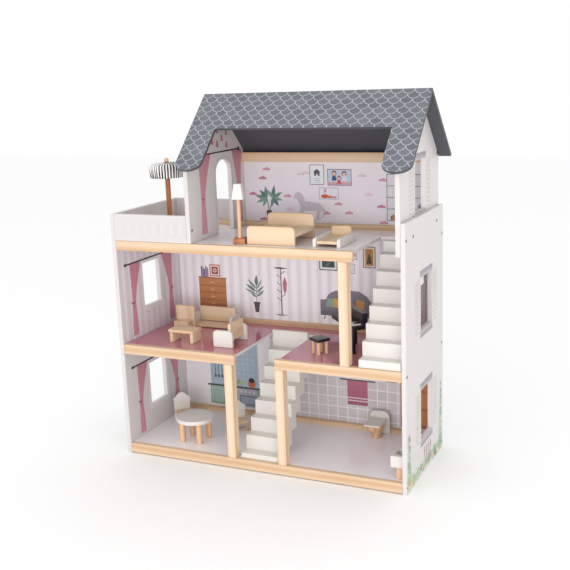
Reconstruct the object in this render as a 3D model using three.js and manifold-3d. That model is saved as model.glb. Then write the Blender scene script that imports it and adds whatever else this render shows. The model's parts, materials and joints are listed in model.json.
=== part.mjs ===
// Wooden dollhouse with its furniture, in millimetres, +Z up.
// An open-fronted three-storey house of painted boards and pine strips, with a
// gabled roof, a balcony, two staircases and loose wooden furniture.
//
// Every piece is drawn in house coordinates: x runs from the outer face of the
// left wall, y from the front edges of the side walls towards the back, and z
// from the underside. The house group then puts the origin under the middle of
// the whole outline.

import * as THREE from 'three';
import { mergeVertices } from 'three/addons/utils/BufferGeometryUtils.js';
import Module from 'manifold-3d';

const wasm = await Module();
wasm.setup();

// ---------------------------------------------------------------- dimensions

const fit = 0.3; // gap between boards that touch
const rest = 0.25; // gap under a piece that stands on a floor

// House body
const bodyWidth = 583;
const bodyDepth = 238;
const board = 8.5; // side walls and gables
const backBoard = 9.4;
const floorBoard = 6;
const wallHeight = 484;

// Floor levels, to the top of each floor
const groundFloor = 20.8;
const middleFloor = 226.1;
const atticFloor = 432.9;

// Pine strips and posts
const stripHeight = 18.7;
const stripDepth = 10;
const skirtHeight = 8.7; // how far a back strip stands above its floor
const post = 17.5;

// Stairs: front edge, height of the first step, number of risers, width, floor
// left behind the last riser, and how far that riser stands above the upper floor.
// The last riser is a thin board, and the upper floor takes the place of its tread.
// On the upper staircase it ends just below the gable wall.
const lowerStair = { y: 8, first: 10.7, risers: 8, width: 77, landing: 46.9, proud: 5.8 };
const upperStair = { y: 3, first: 15, risers: 8, width: 77, landing: 66.9, proud: -6.3 };
const riserBoard = 6;
const stairToWall = 1.7; // upper staircase to the right wall
const wellMargin = { lower: 1.5, upper: 6.5 }; // floor edge to the left side of a staircase
const wellSlack = 11; // floor edge to the right side of the lower staircase
const wellClear = 1.2; // floor edge behind the last riser
const postGap = { ground: 6, middle: 10 }; // post to the edge of a stairwell
const stairToPost = 3.5; // lower staircase to the post on its right

// Roof
const ridgeHeight = 700;
const roofPitch = THREE.MathUtils.degToRad(44);
const roofBoard = 6;
const roofStart = 153; // left end of the roof
const roofOverhang = 14; // past the right wall
const backEave = 9; // level distance that the roof passes the back
const frontEave = 1.8; // and the front, at the corners of the tabs
const tabBulge = 18; // the tabs' rounded ends reach further down the slope
const tabWidth = 53;
const cutSlope = 88; // ridge to the top of the front cut-out
const mitre = 0.2; // half the gap between the two panels at the ridge

// Gable walls
const gableX = 165.6; // left gable, between the attic and the balcony
const gableDrop = 6; // the right gable hangs this far below the attic floor
const door = { front: 109, width: 63, spring: 117, rise: 25 };

// Windows: front edge, width, height, and each sill's height above its floor
const rightWindow = { front: 89.5, width: 71, height: 97, sills: [47.2, 49.9] };
const leftWindow = { front: 85, width: 62, height: 89, sills: [52.2, 55.9] };
const gableWindow = { front: 88, width: 62, height: 89, sill: 56.1 };

const topRailGap = 4.7; // rail under the back of the roof, to the roof
const panelLift = 2; // lowest back panel above the ground

// Furniture
const thinBoard = 6.5;
const panel = 6;
const bury = 1; // how far a leg runs up into the board that it is one with

// -------------------------------------------------------- derived values

const bodyRight = bodyWidth - board;
const innerLeft = board + fit;
const innerRight = bodyRight - fit;
const backFace = bodyDepth - backBoard; // front face of the back panels
const floorFront = stripDepth + fit;
const skirtFront = backFace - fit - stripDepth;
const ridgeY = bodyDepth / 2;
const roofEnd = bodyWidth + roofOverhang;
const roofDrop = roofBoard / Math.cos(roofPitch);
const frontSlope = (ridgeY + frontEave) / Math.cos(roofPitch);
const backSlope = (ridgeY + backEave) / Math.cos(roofPitch);
const frontReach = frontEave + tabBulge * Math.cos(roofPitch);
const backReach = bodyDepth + backEave;
const gableDepth = backFace - 2 * fit;
const rightGableX = bodyRight - fit - board;

// The lower staircase is in the middle of the house, the upper at the right wall.
const lowerStairX = (bodyWidth - lowerStair.width) / 2;
const upperStairX = innerRight - stairToWall - upperStair.width;
const lowerWell = {
  left: lowerStairX - wellMargin.lower,
  right: lowerStairX + lowerStair.width + wellSlack,
};
const upperWellLeft = upperStairX - wellMargin.upper;
const leftPostX = lowerWell.left - post - postGap.ground;
const rightPostX = lowerStairX + lowerStair.width + stairToPost;
const middlePostX = upperWellLeft - post - postGap.middle;
const stairBack = (stair) => skirtFront - fit - stair.landing;
const going = (stair) => (stairBack(stair) - riserBoard - stair.y) / (stair.risers - 1);

// ------------------------------------------------------------------ materials

function paint(color, roughness) {
  return new THREE.MeshStandardMaterial({ color, roughness, metalness: 0 });
}

const whitePaint = paint(0xf1efef, 0.55);
const printedBoard = paint(0xdcd6de, 0.5);
const mauveFloor = paint(0xb87f93, 0.3);
const paleFloor = paint(0xd6d3d8, 0.35);
const pine = paint(0xe2c094, 0.6);
const slate = paint(0x6a6f7a, 0.6);
const plywood = paint(0xe6c9a4, 0.6);
const whiteWood = paint(0xf3f1ee, 0.5);
const blackWood = paint(0x1d1c1e, 0.35);
const copperWood = paint(0xa9683f, 0.5);
const stripedCloth = paint(0x77757a, 0.9);

// -------------------------------------------------------------------- helpers

const AXES = {
  x: [new THREE.Vector3(0, 1, 0), new THREE.Vector3(0, 0, 1), new THREE.Vector3(1, 0, 0)],
  y: [new THREE.Vector3(1, 0, 0), new THREE.Vector3(0, 0, 1), new THREE.Vector3(0, -1, 0)],
  z: [new THREE.Vector3(1, 0, 0), new THREE.Vector3(0, 1, 0), new THREE.Vector3(0, 0, 1)],
};

// A flat board: a shape drawn across an axis, from one coordinate to another.
function boardAcross(axis, from, to, shape) {
  const options = { depth: to - from, bevelEnabled: false, curveSegments: 8 };
  const geometry = new THREE.ExtrudeGeometry(shape, options);
  geometry.applyMatrix4(new THREE.Matrix4().makeBasis(...AXES[axis]));
  const start = axis === 'y' ? to : from;
  geometry.translate(axis === 'x' ? start : 0, axis === 'y' ? start : 0, axis === 'z' ? start : 0);
  return geometry;
}

function box(x, y, z) {
  const geometry = new THREE.BoxGeometry(x[1] - x[0], y[1] - y[0], z[1] - z[0]);
  geometry.translate((x[0] + x[1]) / 2, (y[0] + y[1]) / 2, (z[0] + z[1]) / 2);
  return geometry;
}

function rod(x, y, z, radius, sides = 20) {
  const geometry = new THREE.CylinderGeometry(radius, radius, z[1] - z[0], sides);
  geometry.rotateX(Math.PI / 2);
  geometry.translate(x, y, (z[0] + z[1]) / 2);
  return geometry;
}

function outline(points) {
  return new THREE.Shape(points.map(([u, v]) => new THREE.Vector2(u, v)));
}

function rectangle(u0, v0, u1, v1) {
  return outline([[u0, v0], [u1, v0], [u1, v1], [u0, v1]]);
}

// A rectangle whose upper corners are rounded.
function roundedTop(u0, v0, u1, v1, radius) {
  const shape = new THREE.Shape();
  shape.moveTo(u0, v0);
  shape.lineTo(u1, v0);
  shape.lineTo(u1, v1 - radius);
  shape.absarc(u1 - radius, v1 - radius, radius, 0, Math.PI / 2, false);
  shape.lineTo(u0 + radius, v1);
  shape.absarc(u0 + radius, v1 - radius, radius, Math.PI / 2, Math.PI, false);
  return shape;
}

function positionsOnly(geometry) {
  const plain = geometry.clone();
  plain.deleteAttribute('normal');
  plain.deleteAttribute('uv');
  return mergeVertices(plain, 1e-4);
}

function toManifold(geometry) {
  const merged = positionsOnly(geometry);
  const vertProperties = new Float32Array(merged.attributes.position.array);
  const triVerts = new Uint32Array(merged.index.array);
  return new wasm.Manifold(new wasm.Mesh({ numProp: 3, vertProperties, triVerts }));
}

function toGeometry(manifold) {
  const mesh = manifold.getMesh();
  const geometry = new THREE.BufferGeometry();
  geometry.setAttribute('position', new THREE.BufferAttribute(new Float32Array(mesh.vertProperties), 3));
  geometry.setIndex(new THREE.BufferAttribute(new Uint32Array(mesh.triVerts), 1));
  return geometry;
}

function joined(first, ...others) {
  return toGeometry(others.reduce((sum, next) => sum.add(toManifold(next)), toManifold(first)));
}

function without(body, ...tools) {
  return toGeometry(tools.reduce((left, tool) => left.subtract(toManifold(tool)), toManifold(body)));
}

function within(body, keep) {
  return toGeometry(toManifold(body).intersect(toManifold(keep)));
}

function add(parent, name, geometry, material) {
  const mesh = new THREE.Mesh(geometry, material);
  mesh.name = name;
  parent.add(mesh);
}

// A set of furniture, standing at a place on a floor and turned about Z.
function standAt(parent, x, y, floor, degrees = 0) {
  const group = new THREE.Group();
  group.position.set(x, y, floor + rest);
  group.rotation.z = THREE.MathUtils.degToRad(degrees);
  parent.add(group);
  return group;
}

// ---------------------------------------------------------------- side walls

function windowHole(opening, sill) {
  const { front, width, height } = opening;
  return new THREE.Path([
    new THREE.Vector2(front, sill),
    new THREE.Vector2(front, sill + height),
    new THREE.Vector2(front + width, sill + height),
    new THREE.Vector2(front + width, sill),
  ]);
}

function sideWall(opening) {
  const shape = rectangle(0, 0, bodyDepth, wallHeight);
  const floors = [groundFloor, middleFloor];
  shape.holes = opening.sills.map((sill, storey) => windowHole(opening, floors[storey] + sill));
  return shape;
}

function addSideWalls(house) {
  add(house, 'left_wall', boardAcross('x', 0, board, sideWall(leftWindow)), whitePaint);
  add(house, 'right_wall', boardAcross('x', bodyRight, bodyWidth, sideWall(rightWindow)), whitePaint);
}

// -------------------------------------------------------------------- gables

// Height of the roof's underside, less the fitting gap, at a depth y.
function underRoof(y) {
  return ridgeHeight - Math.abs(y - ridgeY) * Math.tan(roofPitch) - roofDrop - fit;
}

function gableTop(back) {
  return [[back, underRoof(back)], [ridgeY, underRoof(ridgeY)], [0, underRoof(0)]];
}

// The left gable has an arched doorway open to the floor, and a notch at the
// bottom of its back edge where the back strip passes.
function leftGable() {
  const foot = atticFloor + fit;
  const notchTop = atticFloor + skirtHeight + fit;
  const doorBack = door.front + door.width;
  const shape = new THREE.Shape();
  shape.moveTo(0, foot);
  shape.lineTo(door.front, foot);
  shape.lineTo(door.front, foot + door.spring);
  shape.absellipse(
    door.front + door.width / 2, foot + door.spring, door.width / 2, door.rise, Math.PI, 0, true, 0,
  );
  shape.lineTo(doorBack, foot);
  shape.lineTo(skirtFront - fit, foot);
  shape.lineTo(skirtFront - fit, notchTop);
  shape.lineTo(gableDepth, notchTop);
  gableTop(gableDepth).forEach(([y, z]) => shape.lineTo(y, z));
  return shape;
}

function rightGable() {
  const foot = atticFloor - gableDrop;
  const shape = outline([[0, foot], [gableDepth, foot], ...gableTop(gableDepth)]);
  shape.holes = [windowHole(gableWindow, atticFloor + gableWindow.sill)];
  return shape;
}

function addGables(house) {
  add(house, 'left_gable', boardAcross('x', gableX, gableX + board, leftGable()), whitePaint);
  add(house, 'right_gable', boardAcross('x', rightGableX, rightGableX + board, rightGable()), whitePaint);
}

// ------------------------------------------------------- floors and stairwells

function addFloors(house) {
  const back = skirtFront - fit;
  const slab = (level, shape) => boardAcross('z', level - floorBoard, level, shape);
  const ground = rectangle(innerLeft, floorFront, innerRight, back);
  add(house, 'ground_floor', slab(groundFloor, ground), paleFloor);

  const lowerBack = stairBack(lowerStair) + wellClear;
  const middle = outline([
    [innerLeft, floorFront], [lowerWell.left, floorFront], [lowerWell.left, lowerBack],
    [lowerWell.right, lowerBack], [lowerWell.right, floorFront], [innerRight, floorFront],
    [innerRight, back], [innerLeft, back],
  ]);
  add(house, 'middle_floor', slab(middleFloor, middle), mauveFloor);

  const upperBack = stairBack(upperStair) + wellClear;
  const atticRight = rightGableX - fit;
  const attic = outline([
    [innerLeft, floorFront], [upperWellLeft, floorFront], [upperWellLeft, upperBack],
    [atticRight, upperBack], [atticRight, back], [innerLeft, back],
  ]);
  add(house, 'attic_floor', slab(atticFloor, attic), paleFloor);
}

// ------------------------------------------------------ pine strips and posts

function addStrips(house) {
  const front = (level, left, right) => box([left, right], [0, stripDepth], [level - stripHeight, level]);
  add(house, 'ground_front_strip', front(groundFloor, innerLeft, innerRight), pine);
  add(house, 'middle_front_strip_left', front(middleFloor, innerLeft, lowerWell.left), pine);
  add(house, 'middle_front_strip_right', front(middleFloor, rightPostX, innerRight), pine);
  add(house, 'attic_front_strip', front(atticFloor, innerLeft, upperWellLeft), pine);

  const depth = [skirtFront, backFace - fit];
  const skirt = (level, right) => {
    const top = level + skirtHeight;
    return box([innerLeft, right], depth, [top - stripHeight, top]);
  };
  add(house, 'ground_back_strip', skirt(groundFloor, innerRight), pine);
  add(house, 'middle_back_strip', skirt(middleFloor, innerRight), pine);
  add(house, 'attic_back_strip', skirt(atticFloor, rightGableX - fit), pine);
  const railX = [gableX + board + fit, rightGableX - fit];
  const railTop = underRoof(backFace - fit) - topRailGap;
  add(house, 'top_back_rail', box(railX, depth, [railTop - stripHeight, railTop]), pine);
}

function addPosts(house) {
  const upright = (left, floor, ceiling) => {
    const height = [floor + fit, ceiling - stripHeight - fit];
    return box([left, left + post], [0, post], height);
  };
  add(house, 'ground_post_left', upright(leftPostX, groundFloor, middleFloor), pine);
  add(house, 'ground_post_right', upright(rightPostX, groundFloor, middleFloor), pine);
  add(house, 'middle_post', upright(middlePostX, middleFloor, atticFloor), pine);
}

// ---------------------------------------------------- back panels and railings

function addBackPanels(house) {
  const depth = [backFace, bodyDepth];
  const atticBottom = atticFloor - stripHeight;
  const middleBottom = middleFloor - stripHeight;
  const gableRight = rightGableX + board;
  const roofClear = underRoof(bodyDepth);
  const full = [innerLeft, innerRight];
  add(house, 'back_panel_ground', box(full, depth, [panelLift, middleBottom - fit]), printedBoard);
  add(house, 'back_panel_middle', box(full, depth, [middleBottom, atticBottom - fit]), printedBoard);
  add(house, 'back_panel_attic', box([gableX, gableRight], depth, [atticBottom, roofClear]), printedBoard);

  const railX = [innerLeft, gableX - fit];
  const frontRail = box(railX, [0, board], [atticFloor + fit, wallHeight]);
  add(house, 'balcony_front_rail', frontRail, printedBoard);
  add(house, 'balcony_back_rail', box(railX, depth, [atticBottom, wallHeight]), printedBoard);
}

// -------------------------------------------------------------------- stairs

// Each step is a block two goings deep, so the underside is stepped as well.
function stairProfile(stair, floor, upperFloor) {
  const base = floor + fit;
  const rise = (upperFloor - base - stair.first) / (stair.risers - 1);
  const top = (step) => base + stair.first + step * rise;
  const riser = (step) => stair.y + step * going(stair);
  const points = [[stair.y, base]];
  const last = stair.risers - 1;
  for (let step = 0; step < last; step += 1) {
    points.push([riser(step), top(step)], [riser(step + 1), top(step)]);
  }
  const boardBack = riser(last) + riserBoard;
  const boardTop = upperFloor + stair.proud;
  points.push([riser(last), boardTop], [boardBack, boardTop], [boardBack, top(last - 1)]);
  for (let step = last - 1; step > 0; step -= 1) {
    points.push([riser(step + 2), top(step)], [riser(step + 2), top(step - 1)]);
  }
  points.push([riser(2), top(0)], [riser(2), base]);
  const unique = points.filter(([y, z], i) => {
    const [py, pz] = points[(i + points.length - 1) % points.length];
    return Math.hypot(y - py, z - pz) > 1e-6;
  });
  return outline(unique.reverse());
}

function addStairs(house) {
  const lower = stairProfile(lowerStair, groundFloor, middleFloor);
  const upper = stairProfile(upperStair, middleFloor, atticFloor);
  const lowerX = [lowerStairX, lowerStairX + lowerStair.width];
  const upperX = [upperStairX, upperStairX + upperStair.width];
  add(house, 'lower_stairs', boardAcross('x', ...lowerX, lower), whitePaint);
  add(house, 'upper_stairs', boardAcross('x', ...upperX, upper), whitePaint);
}

// ---------------------------------------------------------------------- roof

// The front panel, drawn flat with v running up the slope to the ridge. A wide
// cut-out leaves two tabs with rounded ends.
function frontRoofShape() {
  const half = tabWidth / 2;
  const shape = new THREE.Shape();
  shape.moveTo(roofStart, 0);
  shape.lineTo(roofStart, -frontSlope);
  shape.absellipse(roofStart + half, -frontSlope, half, tabBulge, Math.PI, 2 * Math.PI, false, 0);
  shape.lineTo(roofStart + tabWidth, -cutSlope);
  shape.lineTo(roofEnd - tabWidth, -cutSlope);
  shape.lineTo(roofEnd - tabWidth, -frontSlope);
  shape.absellipse(roofEnd - half, -frontSlope, half, tabBulge, Math.PI, 2 * Math.PI, false, 0);
  shape.lineTo(roofEnd, 0);
  return shape;
}

// A roof panel hinged down from the ridge line and mitred against its twin.
function roofPanel(shape, side) {
  const options = { depth: roofBoard, bevelEnabled: false, curveSegments: 10 };
  const geometry = new THREE.ExtrudeGeometry(shape, options);
  geometry.translate(0, 0, -roofBoard);
  geometry.rotateX(roofPitch);
  if (side > 0) {
    geometry.rotateZ(Math.PI);
    geometry.translate(roofStart + roofEnd, 0, 0);
  }
  geometry.translate(0, ridgeY, ridgeHeight);
  const near = [ridgeY - backReach, ridgeY - mitre];
  const far = [ridgeY + mitre, ridgeY + backReach];
  const keep = box([0, roofEnd + board], side > 0 ? far : near, [0, ridgeHeight + board]);
  return within(geometry, keep);
}

function addRoof(house) {
  add(house, 'roof_front_panel', roofPanel(frontRoofShape(), -1), slate);
  const plain = rectangle(roofStart, -backSlope, roofEnd, 0);
  add(house, 'roof_back_panel', roofPanel(plain, 1), slate);
}

// ----------------------------------------------------------- balcony parasol

const parasol = {
  x: 62, y: 115, pole: 5, height: 138, baseRadius: 15, baseHeight: 7, chamfer: 1.5,
  ball: 4.6, ballSink: 0.9,
};
const canopy = {
  radius: 36, rim: 33.5, height: 28.5, bottom: 108.5, skirt: 10, shoulder: 5, shoulderIn: 5, wall: 3,
};

function addParasol(house) {
  const group = standAt(house, parasol.x, parasol.y, atticFloor);
  const { pole, baseRadius, baseHeight, chamfer, height, ball, ballSink } = parasol;
  const profile = [[0, 0], [baseRadius, 0], [baseRadius, baseHeight - chamfer]];
  profile.push([baseRadius - chamfer, baseHeight], [pole, baseHeight], [pole, height]);
  const arcs = 6;
  for (let arc = 1; arc < arcs; arc += 1) {
    const angle = -Math.PI / 4 + (arc / arcs) * (Math.PI * 3) / 4;
    profile.push([ball * Math.cos(angle), height + ball - ballSink + ball * Math.sin(angle)]);
  }
  profile.push([0, height + 2 * ball - ballSink]);
  const stand = new THREE.LatheGeometry(profile.map(([r, z]) => new THREE.Vector2(r, z)), 20);
  stand.rotateX(Math.PI / 2);
  add(group, 'parasol_stand', stand, copperWood);

  // A flat-topped cloth drum, open underneath, with a hole for the pole.
  const { radius, rim, bottom, skirt, shoulder, shoulderIn, wall } = canopy;
  const top = bottom + canopy.height;
  const bore = pole + fit;
  const shoulderRadius = radius - shoulderIn;
  const section = [
    [bore, top - wall], [shoulderRadius - wall, top - shoulder - wall], [radius - wall, bottom + skirt],
    [rim - wall, bottom], [rim, bottom], [radius, bottom + skirt], [shoulderRadius, top - shoulder],
    [bore, top], [bore, top - wall],
  ];
  const cloth = new THREE.LatheGeometry(section.map(([r, z]) => new THREE.Vector2(r, z)), 28);
  cloth.rotateX(Math.PI / 2);
  add(group, 'parasol_canopy', cloth, stripedCloth);
}

// -------------------------------------------------------------- attic bedroom

const lamp = { x: 261, y: 30, turn: 14, base: 23, baseHeight: 10, pole: 3.5, shadeBottom: 81 };
const shade = { bottom: 21, top: 13, height: 27.5, wall: 1.6 };

function squarePyramid(bottom, top, z) {
  const geometry = new THREE.CylinderGeometry(top / Math.SQRT2, bottom / Math.SQRT2, z[1] - z[0], 4);
  geometry.rotateX(Math.PI / 2);
  geometry.rotateZ(Math.PI / 4);
  geometry.translate(0, 0, (z[0] + z[1]) / 2);
  return geometry;
}

function addLamp(house) {
  const group = standAt(house, lamp.x, lamp.y, atticFloor, lamp.turn);
  const half = lamp.base / 2;
  const shadeTop = lamp.shadeBottom + shade.height;
  const poleTop = shadeTop - shade.wall - fit;
  const base = box([-half, half], [-half, half], [0, lamp.baseHeight]);
  add(group, 'lamp_stand', joined(base, rod(0, 0, [lamp.baseHeight - bury, poleTop], lamp.pole)), plywood);

  const outer = squarePyramid(shade.bottom, shade.top, [lamp.shadeBottom, shadeTop]);
  const slope = (shade.bottom - shade.top) / shade.height;
  const innerTop = shade.top - 2 * shade.wall + slope * shade.wall;
  const innerBottom = shade.bottom - 2 * shade.wall + slope * bury;
  const inner = squarePyramid(innerBottom, innerTop, [lamp.shadeBottom - bury, shadeTop - shade.wall]);
  add(group, 'lamp_shade', without(outer, inner), whiteWood);
}

const bed = { x: 279, width: 94, front: 21, length: 95, footHeight: 34, headHeight: 45 };
const bedDeck = { top: 23, thickness: 8, corner: 8 };

function addBed(house) {
  const group = standAt(house, bed.x, bed.front, atticFloor);
  const { width, length } = bed;
  const foot = roundedTop(0, 0, width, bed.footHeight, bedDeck.corner);
  const head = roundedTop(0, 0, width, bed.headHeight, bedDeck.corner);
  const deckZ = [bedDeck.top - bedDeck.thickness, bedDeck.top];
  const deck = box([0, width], [panel + fit, length - panel - fit], deckZ);
  add(group, 'bed_footboard', boardAcross('y', 0, panel, foot), plywood);
  add(group, 'bed_headboard', boardAcross('y', length - panel, length, head), plywood);
  add(group, 'bed_platform', deck, plywood);
}

const lounger = {
  gap: 30, width: 52, front: 22, length: 82, rail: 16, seat: [5.5, 11], seatStart: 3,
  back: 27, backInset: 2, nose: 7, corner: 6,
};

// The lounger stands to the left of the upper stairwell.
function addLounger(house) {
  const x = upperWellLeft - lounger.gap - lounger.width;
  const group = standAt(house, x, lounger.front, atticFloor);
  const { width, length, rail, nose } = lounger;
  const side = roundedTop(0, 0, length, rail, nose);
  const inner = [thinBoard + fit, width - thinBoard - fit];
  const backStart = length - panel - lounger.backInset;
  add(group, 'lounger_rail_left', boardAcross('x', 0, thinBoard, side), whiteWood);
  add(group, 'lounger_rail_right', boardAcross('x', width - thinBoard, width, side), whiteWood);
  add(group, 'lounger_seat', box(inner, [lounger.seatStart, backStart - fit], lounger.seat), plywood);
  const back = roundedTop(inner[0], lounger.seat[0], inner[1], lounger.back, lounger.corner);
  add(group, 'lounger_back', boardAcross('y', backStart, backStart + panel, back), plywood);
}

// --------------------------------------------------------------- living room

const table = { x: 86, y: 42, width: 56, depth: 35, height: 26, top: 6, leg: 7, inset: 2 };

function addCoffeeTable(house) {
  const group = standAt(house, table.x, table.y, middleFloor);
  const { width, depth, height, top, leg, inset } = table;
  add(group, 'coffee_table_top', box([0, width], [0, depth], [height - top, height]), plywood);
  const legY = [inset, depth - inset];
  const legZ = [0, height - top - fit];
  add(group, 'coffee_table_leg_left', box([inset, inset + leg], legY, legZ), plywood);
  add(group, 'coffee_table_leg_right', box([width - inset - leg, width - inset], legY, legZ), plywood);
}

const sofaPlace = { x: 70, y: skirtFront - 61.3 };
const blockChair = {
  x: 41, y: sofaPlace.y - 27, seatWidth: 34, seatDepth: 19, seatHeight: 17,
  width: 43, height: 46, corner: 2,
};

function addBlockChair(house) {
  const group = standAt(house, blockChair.x, blockChair.y, middleFloor);
  const { seatWidth, seatDepth, seatHeight, width, height } = blockChair;
  const margin = (width - seatWidth) / 2;
  const seat = box([margin, margin + seatWidth], [0, seatDepth + bury], [0, seatHeight]);
  const back = roundedTop(0, 0, width, height, blockChair.corner);
  const backPanel = boardAcross('y', seatDepth, seatDepth + panel, back);
  add(group, 'block_chair', joined(seat, backPanel), plywood);
}

// A seat between two white end panels. Drawn facing the front, with the seat
// and back held between the ends.
const sofa = {
  name: 'sofa', ...sofaPlace, turn: 0, length: 97, depth: 37, end: 26, endRound: 7,
  seat: [1.2, 7], back: [7.4, 38], backInset: 1.5, backRound: 3,
};
const seatFront = 1; // seat behind the front edge of the ends
const armchair = {
  name: 'armchair', x: 187, y: 107, turn: -90, length: 67, depth: 41, end: 33, endRound: 8,
  seat: [9, 15], back: [11, 45], backInset: 6, backRound: 2,
};

function addSettee(house, seatType, floor) {
  const { name, x, y, turn, length, depth } = seatType;
  const group = standAt(house, x, y, floor, turn);
  const end = roundedTop(0, 0, depth, seatType.end, seatType.endRound);
  const inner = [thinBoard + fit, length - thinBoard - fit];
  const backEnd = depth - seatType.backInset;
  const back = roundedTop(inner[0], seatType.back[0], inner[1], seatType.back[1], seatType.backRound);
  add(group, `${name}_left_end`, boardAcross('x', 0, thinBoard, end), whiteWood);
  add(group, `${name}_right_end`, boardAcross('x', length - thinBoard, length, end), whiteWood);
  add(group, `${name}_seat`, box(inner, [seatFront, backEnd - panel - fit], seatType.seat), plywood);
  add(group, `${name}_back`, boardAcross('y', backEnd - panel, backEnd, back), plywood);
}

// --------------------------------------------------------------- music corner

const stool = { toWell: 89.5, y: 61, turn: -34, top: 31, side: 28, thickness: 6, leg: 2.9, legInset: 5.5 };

function addStool(house) {
  const group = standAt(house, upperWellLeft - stool.toWell, stool.y, middleFloor, stool.turn);
  const half = stool.side / 2;
  const legAt = half - stool.legInset;
  const seat = box([-half, half], [-half, half], [stool.top - stool.thickness, stool.top]);
  const legs = [];
  for (const sx of [-1, 1]) {
    for (const sy of [-1, 1]) {
      legs.push(rod(sx * legAt, sy * legAt, [0, stool.top - stool.thickness + bury], stool.leg, 16));
    }
  }
  add(group, 'stool', joined(seat, ...legs), blackWood);
}

// The piano's keys face its own left; the case stands behind them.
const piano = {
  toWell: 30, y: 74, turn: 43, width: 34, length: 104, deckTop: 52, deck: 8, leg: 5.5, farLegs: 58,
  keyDepth: 17, keyFrame: 2, keyStart: 4, keyLength: 66, keyRise: 2.5,
  caseGap: 1, caseStart: 3, caseDepth: 12, caseHeight: 22, caseLength: 62,
};

function addPiano(house) {
  const group = standAt(house, upperWellLeft - piano.toWell, piano.y, middleFloor, piano.turn);
  const { width, length, deckTop, deck, leg, keyDepth, keyFrame, keyStart, caseStart } = piano;
  const slab = box([0, width], [0, length], [deckTop - deck, deckTop]);
  const caseLeft = keyFrame + keyDepth + piano.caseGap;
  const caseX = [caseLeft, caseLeft + piano.caseDepth];
  const caseY = [caseStart, caseStart + piano.caseLength];
  const upright = box(caseX, caseY, [deckTop - bury, deckTop + piano.caseHeight]);
  const legs = [];
  for (const x of [0, width - leg]) {
    for (const y of [0, piano.farLegs]) {
      legs.push(box([x, x + leg], [y, y + leg], [0, deckTop - deck + bury]));
    }
  }
  add(group, 'piano_body', joined(slab, upright, ...legs), blackWood);
  const keyX = [keyFrame, keyFrame + keyDepth];
  const keyY = [keyStart, keyStart + piano.keyLength];
  const keys = box(keyX, keyY, [deckTop + rest, deckTop + piano.keyRise]);
  add(group, 'piano_keyboard', keys, whiteWood);
}

// ---------------------------------------------------------------- dining room

const diningTable = { x: 124, y: 61, radius: 37.5, height: 50, top: 8, leg: 6, legAt: 19 };

function addDiningTable(house) {
  const group = standAt(house, diningTable.x, diningTable.y, groundFloor);
  const { radius, height, top, leg, legAt } = diningTable;
  const legs = [];
  for (const sx of [-1, 1]) {
    for (const sy of [-1, 1]) {
      legs.push(rod(sx * legAt, sy * legAt, [0, height - top + bury], leg, 16));
    }
  }
  add(group, 'dining_table', joined(rod(0, 0, [height - top, height], radius, 48), ...legs), whiteWood);
}

const chair = {
  width: 37, shoulder: 48, peak: 60, seat: [17, 22.5], seatInset: 2, seatDepth: 30,
  leg: 3.2, legInset: 1, waist: 1.8,
  places: [[39, 152.5, 45], [174, 145, 45]],
};

// The chair back rises to a low peak between two hollow shoulders.
function chairBack() {
  const { width, shoulder, peak, waist } = chair;
  const half = width / 2;
  const shape = new THREE.Shape();
  shape.moveTo(-half, 0);
  shape.lineTo(half, 0);
  shape.quadraticCurveTo(half - 2 * waist, shoulder / 2, half, shoulder);
  shape.quadraticCurveTo(half * 0.55, shoulder + 2, half * 0.45, peak - 4);
  shape.quadraticCurveTo(0, peak + 3, -half * 0.45, peak - 4);
  shape.quadraticCurveTo(-half * 0.55, shoulder + 2, -half, shoulder);
  shape.quadraticCurveTo(-half + 2 * waist, shoulder / 2, -half, 0);
  return shape;
}

function addDiningChairs(house) {
  const { seat, seatInset, seatDepth, leg, legInset, width } = chair;
  chair.places.forEach(([x, y, turn], index) => {
    const group = standAt(house, x, y, groundFloor, turn);
    const back = boardAcross('y', -panel / 2, panel / 2, chairBack());
    const half = width / 2 - seatInset;
    const plate = box([-half, half], [-seatDepth, 0], seat);
    const legs = [-1, 1].map((side) => {
      const legX = side * (half - leg - legInset);
      return rod(legX, -seatDepth + leg + legInset, [0, seat[0] + bury], leg, 16);
    });
    add(group, `dining_chair_${index + 1}`, joined(back, plate, ...legs), whiteWood);
  });
}

// ------------------------------------------------------------------- bathroom

const toilet = {
  toWall: 92.2, toSkirt: 1.3, width: 41, length: 55, back: 47, corner: 13,
  seat: [30, 34], seatWidth: 33, bowlTop: 15.8, bowlBottom: 9, bowlLean: 6, stretch: 1.44,
};

// Shears a shape so that its foot stands further back than its top.
function leanBack(geometry, lean, height) {
  const place = geometry.getAttribute('position');
  for (let i = 0; i < place.count; i += 1) {
    place.setY(i, place.getY(i) + lean * (1 - place.getZ(i) / height));
  }
}

// A bowl with a narrow foot, a swelling flank and an upright rim.
function turnedBowl(top, foot, height) {
  const outline = [
    [0, 0],
    [foot, 0],
    [foot, 0.3 * height],
    [top * 0.88, 0.6 * height],
    [top, 0.78 * height],
    [top, height],
    [0, height],
  ];
  const points = outline.map(([r, z]) => new THREE.Vector2(r, z));
  return new THREE.LatheGeometry(points, 32).rotateX(Math.PI / 2);
}

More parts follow.
